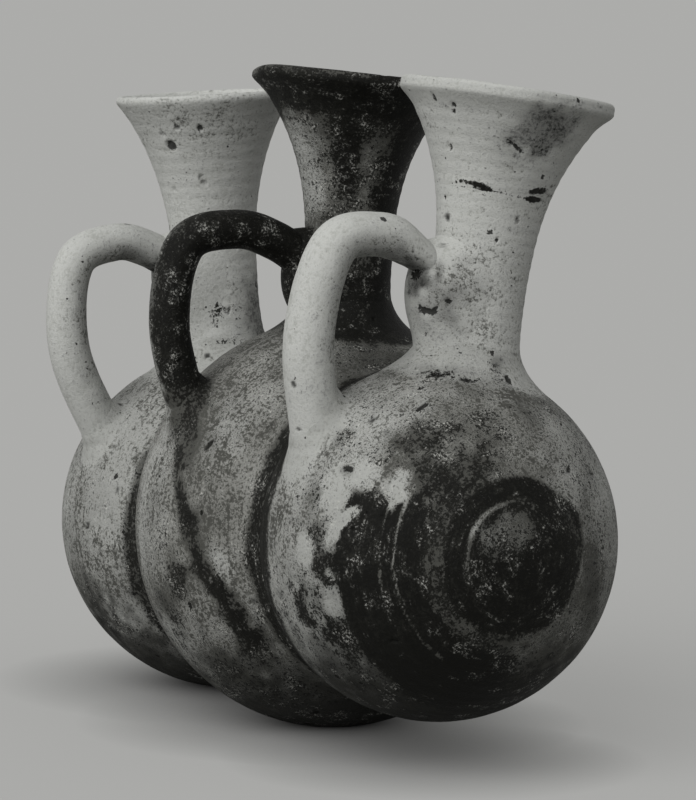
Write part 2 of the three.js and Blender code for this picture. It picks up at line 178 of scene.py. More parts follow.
def mixed(first: Levels, second: Levels, share: Array) -> Levels:
    """Levels at a share of the way from one paint to another."""
    return {channel: lerp(first[channel], second[channel], share) for channel in Channel}


def clay_noise(points: Array, size: float, seed: int) -> Array:
    """Smooth noise that repeats the same way on each run.

    Args:
        points: Places to read it at, n by 3, in millimetres.
        size: Distance over which it changes, in millimetres.
        seed: Picks one noise among many.

    Returns:
        One value from -1 to 1 for each point.
    """
    cell = points / size
    base = np.floor(cell).astype(np.int64)
    ease = smooth(cell - base, 0.0, 1.0)
    total = np.zeros(len(points))
    for corner in range(8):
        step = np.array([corner & 1, corner >> 1 & 1, corner >> 2 & 1])
        key = (base + step) @ HASH_CELL + seed * HASH_SEED
        for shift, factor in HASH_MIXES:
            key = (key ^ key >> shift) * factor & HASH_LIMIT
        value = (key ^ key >> HASH_LAST_SHIFT) / HASH_LIMIT
        total += value * np.prod(np.where(step == 1, ease, 1.0 - ease), axis=1)
    return 2.0 * total - 1.0


def eased_union(first: Array, second: Array, ease: float) -> Array:
    """Distance to two joined bodies whose corner is filled.

    Args:
        first: Distances to one body.
        second: Distances to the other.
        ease: How far off the corner the fill reaches.

    Returns:
        The distances to both, smaller near the corner.
    """
    near = np.maximum(ease - np.abs(first - second), 0.0)
    return np.minimum(first, second) - near**2 / (4.0 * ease)


def catmull_rom(route: Array, samples: int) -> Array:
    """Points along a smooth curve through a route.

    Args:
        route: The points that the curve passes through.
        samples: How many points to give for each stretch.

    Returns:
        The points on the curve, both ends included.
    """
    padded = np.vstack([2 * route[0] - route[1], route, 2 * route[-1] - route[-2]])
    share = np.linspace(0.0, 1.0, samples, endpoint=False)[:, None]
    stretches = []
    for a, b, c, d in zip(padded, padded[1:], padded[2:], padded[3:]):
        linear_part = (c - a) * share
        square = (2 * a - 5 * b + 4 * c - d) * share**2
        cubic = (3 * b - a - 3 * c + d) * share**3
        stretches.append(b + (linear_part + square + cubic) / 2)
    return np.vstack([*stretches, route[-1]])


@dataclass(frozen=True)
class Handle:
    """A pulled loop handle, in millimetres from its globe's top and its neck's axis."""

    root_rise: float
    peak_rise: float
    reach: float
    foot_degrees: float  # up from the globe's middle
    arch_half: float  # half thickness over the arch
    limb_half: float  # and down the limb
    half_width: float
    root_taper: float = 0.0  # how far the strap is pinched thinner at its root, on either side


@dataclass(frozen=True)
class Form:
    """The turned form of one juglet, in millimetres and degrees."""

    radius: float
    half_length: float
    rim: float
    throat: float
    neck_height: float
    throat_height: float
    lean: float  # towards the side away from the handles
    rim_skew: float  # how far the rim falls towards the right of the camera's view
    lip_bead: float  # how far the lip is thickened just below the rim
    handle: Handle
    rim_lift: float = 0.0  # how far the whole rim stands above its height
    rim_tip: float = 0.0  # how far the rim is tipped up towards the camera's side
    rim_wear: float = 0.0  # how far the rim is worn down at its rear corner
    foot_flare: float = 2.2  # how far the neck spreads at its foot


# Driving sizes of the juglets, as in the part's source. The source has no lift, tip, wear or bead on the
# rims and no taper on the front handle, and its front rim falls by 0.6.
FORMS = {
    Place.FRONT: Form(
        radius=41.4,
        half_length=39.4,
        rim=24.7,
        throat=11.0,
        neck_height=62.3,
        throat_height=15.6,
        lean=9.8,
        rim_skew=-0.1,
        rim_lift=0.7,
        lip_bead=1.0,
        handle=Handle(
            root_rise=17.6,
            peak_rise=25.6,
            reach=40.8,
            foot_degrees=22.0,
            arch_half=4.9,
            limb_half=6.1,
            half_width=6.3,
            root_taper=2.6,
        ),
    ),
    Place.MIDDLE: Form(
        radius=48.5,
        half_length=42.3,
        rim=24.7,
        throat=10.3,
        neck_height=58.2,
        throat_height=11.4,
        lean=3.0,
        rim_skew=1.5,
        rim_tip=0.2,
        rim_wear=1.5,
        lip_bead=0.8,
        handle=Handle(
            root_rise=11.6,
            peak_rise=20.4,
            reach=45.8,
            foot_degrees=29.0,
            arch_half=4.6,
            limb_half=4.8,
            half_width=4.9,
        ),
    ),
    Place.BACK: Form(
        radius=41.4,
        half_length=42.8,
        rim=21.5,
        throat=10.1,
        neck_height=63.5,
        throat_height=16.6,
        lean=-4.0,
        rim_skew=0.3,
        rim_tip=0.8,
        lip_bead=0.2,
        handle=Handle(
            root_rise=20.6,
            peak_rise=29.4,
            reach=40.2,
            foot_degrees=33.0,
            arch_half=4.4,
            limb_half=5.2,
            half_width=5.1,
        ),
    ),
}


@dataclass
class Row:
    """Where each juglet stands: the row climbs to the front juglet and rests on two worn flats."""

    tilt: float = math.radians(2.5)  # the row climbs towards the front juglet
    front_rise: float = 0.9  # of the front globe above the row's axis
    back_side_step: float = 0.7  # of the back globe towards the handles' side
    front_rim_clearance: float = 2.8
    back_rim_clearance: float = 9.0
    middle_flat_depth: float = 0.9
    back_flat_depth: float = 0.5

    def __post_init__(self) -> None:
        """Works the places out from the driving sizes and from the frame's box."""
        front, middle, back = (FORMS[place] for place in Place)
        self.station = {
            Place.FRONT: middle.rim + front.rim + self.front_rim_clearance,
            Place.MIDDLE: 0.0,
            Place.BACK: -(middle.rim + back.rim + self.back_rim_clearance),
        }
        self.front_seam = self.seam(Place.MIDDLE, Place.FRONT)
        self.back_seam = self.seam(Place.BACK, Place.MIDDLE)
        middle_height = self.rest_height(middle) - self.middle_flat_depth
        back_height = self.rest_height(back) - self.back_flat_depth
        fall = self.station[Place.BACK] * math.sin(self.tilt)
        back_drop = (back_height - middle_height - fall) / math.cos(self.tilt)
        self.centre = {
            Place.FRONT: np.array([self.station[Place.FRONT], 0.0, self.front_rise]),
            Place.MIDDLE: np.zeros(3),
            Place.BACK: np.array([self.station[Place.BACK], -self.back_side_step, back_drop]),
        }
        pole = self.station[Place.FRONT] + front.half_length
        pole_reach = pole * math.cos(self.tilt) - self.front_rise * math.sin(self.tilt)
        low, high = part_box("middle_globe")
        self.origin = np.array(
            [CAD_BOX[1].x / MM - pole_reach, (low.y + high.y) / 2 / MM, middle_height]
        )

    def rest_height(self, form: Form) -> float:
        """Height of a tilted globe's centre when it just touches the ground."""
        return math.hypot(form.radius * math.cos(self.tilt), form.half_length * math.sin(self.tilt))

    def globe_radius(self, place: Place, station: float) -> float:
        """Radius of a juglet's globe about the row at a station along it."""
        share = (station - self.station[place]) / FORMS[place].half_length
        return FORMS[place].radius * math.sqrt(max(0.0, 1.0 - share**2))

    def seam(self, lower: Place, upper: Place) -> float:
        """Finds where two neighbouring globes are equally wide, by halving the span.

        Args:
            lower: The juglet further back in the row.
            upper: The juglet further to the front.

        Returns:
            The station along the row.
        """
        low = self.station[upper] - FORMS[upper].half_length
        high = self.station[lower] + FORMS[lower].half_length
        for _ in range(SEAM_SEARCH_STEPS):
            station = (low + high) / 2
            if self.globe_radius(lower, station) > self.globe_radius(upper, station):
                low = station
            else:
                high = station
        return (low + high) / 2

    def ends(self, place: Place) -> tuple[float, float]:
        """Gives where a globe ends: at a seam, or at its free pole.

        Args:
            place: The juglet.

        Returns:
            The low and the high end along the row, from the globe's centre.
        """
        half = FORMS[place].half_length
        low = {Place.FRONT: self.front_seam, Place.MIDDLE: self.back_seam}.get(place, -math.inf)
        high = {Place.MIDDLE: self.front_seam, Place.BACK: self.back_seam}.get(place, math.inf)
        return max(-half, low - self.station[place]), min(half, high - self.station[place])

    def matrix(self) -> Array:
        """Matrix from the row's frame to the object's, in millimetres."""
        tilt = Matrix.Rotation(-self.tilt, 4, "Y")
        return np.array(Matrix.Translation(Vector(self.origin)) @ tilt)

    def juglet_matrix(self, place: Place) -> Array:
        """Matrix from a juglet's own frame to the object's, in millimetres."""
        lean = Matrix.Rotation(-math.radians(FORMS[place].lean), 4, "X")
        return self.matrix() @ np.array(Matrix.Translation(Vector(self.centre[place])) @ lean)


ROW = Row()


def moved(points: Array, matrix: Array) -> Array:
    """Points taken through a 4 by 4 matrix."""
    return points @ matrix[:3, :3].T + matrix[:3, 3]


@dataclass
class Skin:
    """A closed surface in the object's frame, in millimetres, before it is weathered.

    The lay says how the clay was turned: millimetres across the turning lines, then the
    direction round the form, so that a pattern read from it runs along the turning.
    """

    points: Array
    faces: Faces
    lay: Array

    def outward(self) -> "Skin":
        """Turns the faces outwards, by the sign of the enclosed volume.

        Returns:
            The same skin.
        """
        volume = 0.0
        for size in (3, 4):
            corners = np.array([face for face in self.faces if len(face) == size], dtype=int)
            for k in range(1, size - 1):
                if len(corners):
                    a, b, c = (self.points[corners[:, i]] for i in (0, k, k + 1))
                    volume += np.einsum("ij,ij->", a, np.cross(b, c))
        if volume < 0:
            self.faces = [face[::-1] for face in self.faces]
        return self


def ring_faces(rows: int, columns: int, looped: bool) -> Faces:
    """Faces of a grid that closes on itself round its columns.

    Args:
        rows: Rings of points, one after another.
        columns: Points in each ring.
        looped: Whether the last ring joins the first.

    Returns:
        Four corners for each face.
    """
    first = np.arange(rows if looped else rows - 1)[:, None] * columns
    after = np.roll(np.arange(rows), -1)[: len(first), None] * columns
    here = np.arange(columns)[None, :]
    beside = np.roll(here, -1)
    corners = np.stack([first + here, first + beside, after + beside, after + here], axis=-1)
    return [tuple(face) for face in corners.reshape(-1, 4).tolist()]


def capped_faces(rows: int, columns: int) -> Faces:
    """Faces of a grid whose two ends close on poles, which follow its points.

    Args:
        rows: Rings of points, one after another.
        columns: Points in each ring.

    Returns:
        The corners of each face, four in the grid and three at the poles.
    """
    first_pole, last_pole = rows * columns, rows * columns + 1
    last_ring = (rows - 1) * columns
    faces = ring_faces(rows, columns, looped=False)
    for i in range(columns):
        beside = (i + 1) % columns
        faces.append((beside, i, first_pole))
        faces.append((last_ring + i, last_ring + beside, last_pole))
    return faces


def around(columns: int) -> Array:
    """Evenly spaced directions round a full turn."""
    return np.linspace(0.0, 2 * math.pi, columns, endpoint=False)


@dataclass(frozen=True)
class Weathering:
    """How far a surface departs from its turned form, in millimetres apart from seed and share."""

    seed: float
    wobble_height: float = 0.35
    wobble_size: float = 22.0
    ripple_height: float = 0.07
    ripple_size: float = 3.2
    ring_height: float = 0.035
    ring_spacing: float = 3.1
    pit_depth: float = 0.3
    pit_size: float = 4.6
    pit_share: float = 0.05
    scar_depth: float = 0.5

    @staticmethod
    def labels() -> list[str]:
        """Names of the tree's inputs, one for each size."""
        return [field.name.replace("_", " ").title() for field in fields(Weathering)]

    def inputs(self) -> dict[str, float]:
        """Values of the tree's inputs, with lengths in metres."""
        values = dict(zip(self.labels(), (getattr(self, field.name) for field in fields(self))))
        return {key: value if key in ("Seed", "Pit Share") else value * MM for key, value in values.items()}


GLOBE_WEATHER = Weathering(seed=3.0)
NECK_WEATHER = Weathering(seed=5.0, wobble_height=0.45, wobble_size=18.0, ring_spacing=2.8)
PITTED_NECK_WEATHER = Weathering(
    seed=6.0,
    wobble_height=0.45,
    wobble_size=18.0,
    ripple_height=0.10,
    pit_depth=0.5,
    pit_size=3.4,
    pit_share=0.20,
)
HANDLE_WEATHER = Weathering(
    seed=7.0,
    wobble_height=0.40,
    wobble_size=14.0,
    ripple_height=0.09,
    ripple_size=2.4,
    ring_height=0.0,
    pit_size=3.8,
)
LUTING_WEATHER = Weathering(seed=3.0, ripple_height=0.12, ring_height=0.0, pit_size=3.6, pit_share=0.08)


def node(
    tree: bpy.types.NodeTree,
    kind: str,
    inputs: dict[int | str, object] | None = None,
    output: int | str = 0,
    **settings: object,
) -> bpy.types.NodeSocket | None:
    """Adds a node with its settings and links.

    Args:
        tree: Tree that gets the node.
        kind: The node's type.
        inputs: A value or an output socket for each input, by name or number.
        output: Which of the node's outputs to give back.
        **settings: The node's own settings.

    Returns:
        The output socket, or nothing where the node has none.
    """
    made = tree.nodes.new(kind)
    for name, value in settings.items():
        setattr(made, name, value)
    for key, value in (inputs or {}).items():
        if isinstance(value, bpy.types.NodeSocket):
            tree.links.new(value, made.inputs[key])
        else:
            made.inputs[key].default_value = value
    return made.outputs[output] if made.outputs else None


def new_tree(name: str, sockets: dict[str, str]) -> tuple[bpy.types.NodeTree, bpy.types.NodeOutputs]:
    """Starts a Geometry Nodes tree with named inputs and one geometry output.

    Args:
        name: The tree's name.
        sockets: Each input's socket type, by name, after the geometry and the material.

    Returns:
        The tree and the sockets that give its inputs.
    """
    tree = bpy.data.node_groups.new(name, "GeometryNodeTree")
    sockets = {"Geometry": "NodeSocketGeometry", "Material": "NodeSocketMaterial"} | sockets
    for label, kind in sockets.items():
        tree.interface.new_socket(label, in_out="INPUT", socket_type=kind)
    tree.interface.new_socket("Geometry", in_out="OUTPUT", socket_type="NodeSocketGeometry")
    return tree, node(tree, "NodeGroupInput").node.outputs


def close_tree(tree: bpy.types.NodeTree, shape: bpy.types.NodeSocket, material: bpy.types.NodeSocket) -> None:
    """Ends a tree in plain faces with a material.

    Args:
        tree: Tree to end.
        shape: The geometry that it has made.
        material: The socket that gives the material.
    """
    real = node(tree, "GeometryNodeRealizeInstances", {"Geometry": shape})
    dressed = node(tree, "GeometryNodeSetMaterial", {"Geometry": real, "Material": material})
    node(tree, "NodeGroupOutput", {"Geometry": dressed})


def plain_mesh(obj: bpy.types.Object, tree: bpy.types.NodeTree, values: dict[str, object]) -> bpy.types.Mesh:
    """Runs a tree on an object and gives the result as a plain mesh.

    Args:
        obj: Object that carries the input geometry.
        tree: Tree to run.
        values: Each input's value, by name.

    Returns:
        The new mesh. The object is left with no modifier.
    """
    modifier = obj.modifiers.new(tree.name, "NODES")
    modifier.node_group = tree
    for item in tree.interface.items_tree:
        if item.in_out == "INPUT" and item.name in values:
            modifier[item.identifier] = values[item.name]
    depsgraph = bpy.context.evaluated_depsgraph_get()
    mesh = bpy.data.meshes.new_from_object(obj.evaluated_get(depsgraph), depsgraph=depsgraph)
    obj.modifiers.remove(modifier)
    return mesh


PIT_EDGE = 0.30  # where a pit starts, as a share of the spacing of the pits
PIT_FLOOR = 0.08
PIT_FINENESS = 2.4  # how many times finer than the pits' spacing their outlines wander
PIT_SWAY = 0.55  # and how far, as a share of that spacing
SCAR_EDGE = 0.35  # level of a scar at which it starts to cut into the clay
SCAR_FLOOR = 0.75


def weather_tree() -> bpy.types.NodeTree:
    """Builds the tree that wears a surface: wobble, ripples, turning rings, pits and scars.

    Returns:
        The tree, whose result carries the depth of its pits as an attribute.
    """
    tree, given = new_tree("weathered_clay", {label: "NodeSocketFloat" for label in Weathering.labels()})
    place = node(tree, "GeometryNodeInputPosition")
    rise = 0.0
    for height, width in (("Wobble Height", "Wobble Size"), ("Ripple Height", "Ripple Size")):
        scale = node(tree, "ShaderNodeMath", {0: 1.0, 1: given[width]}, operation="DIVIDE")
        noise = {"Vector": place, "W": given["Seed"], "Scale": scale}
        swell = node(tree, "ShaderNodeTexNoise", noise, noise_dimensions="4D")
        swell = node(tree, "ShaderNodeMath", {0: swell, 1: NOISE_MIDDLE}, operation="SUBTRACT")
        rise = node(tree, "ShaderNodeMath", {0: swell, 1: given[height], 2: rise}, operation="MULTIPLY_ADD")
    lay = node(tree, "GeometryNodeInputNamedAttribute", {"Name": "lay"}, data_type="FLOAT_VECTOR")
    across = node(tree, "ShaderNodeSeparateXYZ", {0: lay})
    turns = node(tree, "ShaderNodeMath", {0: across, 1: given["Ring Spacing"]}, operation="DIVIDE")
    phase = node(tree, "ShaderNodeMath", {0: turns, 1: 2 * math.pi}, operation="MULTIPLY")
    wave = node(tree, "ShaderNodeMath", {0: phase}, operation="SINE")
    rise = node(tree, "ShaderNodeMath", {0: wave, 1: given["Ring Height"], 2: rise}, operation="MULTIPLY_ADD")
    spacing = node(tree, "ShaderNodeMath", {0: 1.0, 1: given["Pit Size"]}, operation="DIVIDE")
    fine = node(tree, "ShaderNodeMath", {0: PIT_FINENESS, 1: given["Pit Size"]}, operation="DIVIDE")
    drift = node(tree, "ShaderNodeTexNoise", {"Vector": place, "Scale": fine}, "Color")
    sway = node(tree, "ShaderNodeMath", {0: PIT_SWAY, 1: given["Pit Size"]}, operation="MULTIPLY")
    drift = node(tree, "ShaderNodeVectorMath", {0: drift, "Scale": sway}, operation="SCALE")
    drifted = node(tree, "ShaderNodeVectorMath", {0: place, 1: drift}, operation="ADD")
    cells = node(tree, "ShaderNodeTexVoronoi", {"Vector": drifted, "Scale": spacing}, "Distance")
    ease = {"Value": cells, 1: PIT_EDGE, 2: PIT_FLOOR, 3: 0.0, 4: 1.0}
    hollow = node(tree, "ShaderNodeMapRange", ease, interpolation_type="SMOOTHSTEP")
    pick = node(tree, "ShaderNodeSeparateXYZ", {0: cells.node.outputs["Color"]})
    kept = node(tree, "ShaderNodeMath", {0: pick, 1: given["Pit Share"]}, operation="LESS_THAN")
    pit = node(tree, "ShaderNodeMath", {0: hollow, 1: kept}, operation="MULTIPLY")
    scar = node(tree, "GeometryNodeInputNamedAttribute", {"Name": SCAR.value}, data_type="FLOAT")
    ease = {"Value": scar, 1: SCAR_EDGE, 2: SCAR_FLOOR, 3: 0.0, 4: 1.0}
    cut = node(tree, "ShaderNodeMapRange", ease, interpolation_type="SMOOTHSTEP")
    for hole, depth in ((pit, "Pit Depth"), (cut, "Scar Depth")):
        fall = node(tree, "ShaderNodeMath", {0: hole, 1: given[depth]}, operation="MULTIPLY")
        rise = node(tree, "ShaderNodeMath", {0: rise, 1: fall}, operation="SUBTRACT")
    normal = node(tree, "GeometryNodeInputNormal")
    offset = node(tree, "ShaderNodeVectorMath", {0: normal, "Scale": rise}, operation="SCALE")
    worn = node(tree, "GeometryNodeSetPosition", {"Geometry": given["Geometry"], "Offset": offset})
    marked = node(tree, "GeometryNodeStoreNamedAttribute", {"Geometry": worn, "Name": "pit", "Value": pit})
    close_tree(tree, marked, given["Material"])
    return tree


def handle_tree() -> bpy.types.NodeTree:
    """Builds the tree that pulls a handle along its path.

    Returns:
        The tree. It makes an oval strap that swells from arch to limb and spreads at its foot.
    """
    sizes = ("Half Width", "Arch Half", "Limb Half", "Foot Spread", "End Share", "Root Taper", "Root Share")
    counts = {label: "NodeSocketInt" for label in ("Steps", "Sides")}
    tree, given = new_tree("pulled_handle", {label: "NodeSocketFloat" for label in sizes} | counts)
    path = node(tree, "GeometryNodeResampleCurve", {"Curve": given["Geometry"], "Count": given["Steps"]})
    place = node(tree, "GeometryNodeInputPosition")
    share = node(tree, "GeometryNodeSplineParameter", output="Factor")
    kept = {}
    for name, kind, value in (("centre", "FLOAT_VECTOR", place), ("along", "FLOAT", share)):
        store = {"Geometry": path, "Name": name, "Value": value}
        path = node(tree, "GeometryNodeStoreNamedAttribute", store, data_type=kind)
        kept[name] = node(tree, "GeometryNodeInputNamedAttribute", {"Name": name}, data_type=kind)
    ring = node(tree, "GeometryNodeCurvePrimitiveCircle", {"Resolution": given["Sides"], "Radius": 1.0})
    tube = node(tree, "GeometryNodeCurveToMesh", {"Curve": path, "Profile Curve": ring, "Fill Caps": True})
    ease = {"Value": kept["along"], 1: 0.0, 2: 1.0, 3: given["Arch Half"], 4: given["Limb Half"]}
    swell = node(tree, "ShaderNodeMapRange", ease, interpolation_type="SMOOTHSTEP")
    left = node(tree, "ShaderNodeMath", {0: 1.0, 1: kept["along"]}, operation="SUBTRACT")
    near = node(tree, "ShaderNodeMapRange", {"Value": left, 1: 0.0, 2: given["End Share"], 3: 1.0, 4: 0.0})
    curved = node(tree, "ShaderNodeMath", {0: near, 1: 2.0}, operation="POWER")
    spread = node(tree, "ShaderNodeMath", {0: curved, 1: given["Foot Spread"]}, operation="MULTIPLY")
    wide = node(tree, "ShaderNodeMath", {0: given["Half Width"], 1: spread}, operation="ADD")
    thick = node(tree, "ShaderNodeMath", {0: swell, 1: spread}, operation="ADD")
    ease = {"Value": kept["along"], 1: 0.0, 2: given["Root Share"], 3: given["Root Taper"], 4: 0.0}
    pinch = node(tree, "ShaderNodeMapRange", ease)
    thick = node(tree, "ShaderNodeMath", {0: thick, 1: pinch}, operation="SUBTRACT")
    stretch = node(tree, "ShaderNodeCombineXYZ", {0: wide, 1: thick, 2: thick})
    aside = node(tree, "ShaderNodeVectorMath", {0: place, 1: kept["centre"]}, operation="SUBTRACT")
    drawn = {0: aside, 1: stretch, 2: kept["centre"]}
    oval = node(tree, "ShaderNodeVectorMath", drawn, operation="MULTIPLY_ADD")
    strap = node(tree, "GeometryNodeSetPosition", {"Geometry": tube, "Position": oval})
    close_tree(tree, strap, given["Material"])
    return tree


SHAKE_SIZE = 2.4  # millimetres over which the edge of a mark wanders
SWELL_SIZE = 6.0  # and that of a stripe
EDGE_SEED = 100
EDGE_WANDER = 8.0  # degrees by which the ends of a stripe wander


@dataclass
class Surface:
    """Points of a painted surface, with the two coordinates that its marks are placed by."""

    points: Array  # in the juglet's own frame, in millimetres
    along: Array
    across: Array  # degrees

    def __post_init__(self) -> None:
        """Reads the noises that make the edges of marks and stripes ragged."""
        self.shake = self.noise(SHAKE_SIZE, EDGE_SEED)
        self.swell = self.noise(SWELL_SIZE, EDGE_SEED)

    def noise(self, size: float, seed: int) -> Array:
        """Noise from -1 to 1 over the surface."""
        return clay_noise(self.points, size, seed)


def globe_surface(local: Array) -> Surface:
    """A globe's surface, by degrees from its front pole and by turn, 0 at the handle and 90 on top."""
    x, y, z = local.T
    return Surface(local, np.degrees(np.arctan2(np.hypot(y, z), x)), np.degrees(np.arctan2(z, -y)))


def neck_surface(local: Array) -> Surface:
    """A neck's surface, by height and by bearing, 0 at the handle and 90 towards the front."""
    x, y, z = local.T
    return Surface(local, z, np.degrees(np.arctan2(x, -y)))


def handle_surface(local: Array, path: Array) -> Surface:
    """A handle's surface.

    Args:
        local: Points in the juglet's own frame.
        path: The handle's centre line.

    Returns:
        The surface by percent of the way from root to foot and by degrees round the strap,
        0 on the outside of the loop and 90 towards the front.
    """
    spans = ((local[:, None, 1:] - path[None, :, 1:]) ** 2).sum(axis=2)
    nearest = spans.argmin(axis=1)
    outward = path[nearest] - path.mean(axis=0)
    outward = outward / np.linalg.norm(outward, axis=1)[:, None]
    lift = ((local - path[nearest]) * outward).sum(axis=1)
    return Surface(local, nearest * PERCENT / len(path), np.degrees(np.arctan2(local[:, 0], lift)))


@dataclass(frozen=True)
class Mark:
    """A soft-edged patch of paint, wear or painted shade: where it is, how far it reaches and how strong it
    is.
    """

    channel: Channel
    along: float
    across: float
    half_along: float
    half_across: float
    amount: float
    slant: float = 0.0  # how far the patch moves along for each degree across
    ragged: float = 0.6

    def weigh(self, surface: Surface) -> Array:
        """Strength of the mark.

        Args:
            surface: The surface that is marked.

        Returns:
            For each point the mark's amount where it is full, easing to nought outside it.
        """
        aside = turn_gap(surface.across, self.across)
        ahead = surface.along - self.along - self.slant * aside
        spread = (ahead / self.half_along) ** 2 + (aside / self.half_across) ** 2
        return self.amount * np.exp(-((spread * np.exp(self.ragged * surface.shake)) ** 2))


@dataclass(frozen=True)
class Stripe:
    """A painted or worn band with ragged edges: from where to where it runs along and across."""

    channel: Channel
    low: float
    high: float
    amount: float
    soft: float = 1.5
    middle: float = 0.0  # degrees across
    half: float = FULL_TURN
    fade: float = 8.0
    ragged: float = 1.2

    def weigh(self, surface: Surface) -> Array:
        """Strength of the stripe.

        Args:
            surface: The surface that is painted.

        Returns:
            For each point the stripe's amount inside it, easing to nought outside it.
        """
        aside = turn_gap(surface.across, self.middle) + EDGE_WANDER * (surface.swell + surface.shake)
        window = band(aside, -self.half, self.half, self.fade)
        ahead = surface.along + self.ragged * surface.swell
        return self.amount * window * band(ahead, self.low, self.high, self.soft)


@dataclass(frozen=True)
class Ground:
    """The uneven level of one channel all over a surface."""

    level: float
    swing: float = 0.0
    size: float = 12.0  # millimetres


@dataclass(frozen=True)
class Coat:
    """All the paint, wear and painted shade of one surface."""

    seed: int
    slip: Ground
    chalk: Ground
    soot: Ground
    marks: tuple[Mark | Stripe, ...] = ()

    def levels(self, surface: Surface) -> Levels:
        """Levels of paint and wear.

        Args:
            surface: The surface that is painted.

        Returns:
            Each channel's level at each point.
        """
        levels = {SCAR: np.zeros(len(surface.points))}
        grounds = {SLIP: self.slip, CHALK: self.chalk, SOOT: self.soot}
        for step, (channel, ground) in enumerate(grounds.items()):
            levels[channel] = ground.level + ground.swing * surface.noise(ground.size, self.seed + step)
        for mark in self.marks:
            levels[mark.channel] = levels[mark.channel] + mark.weigh(surface)
        return levels


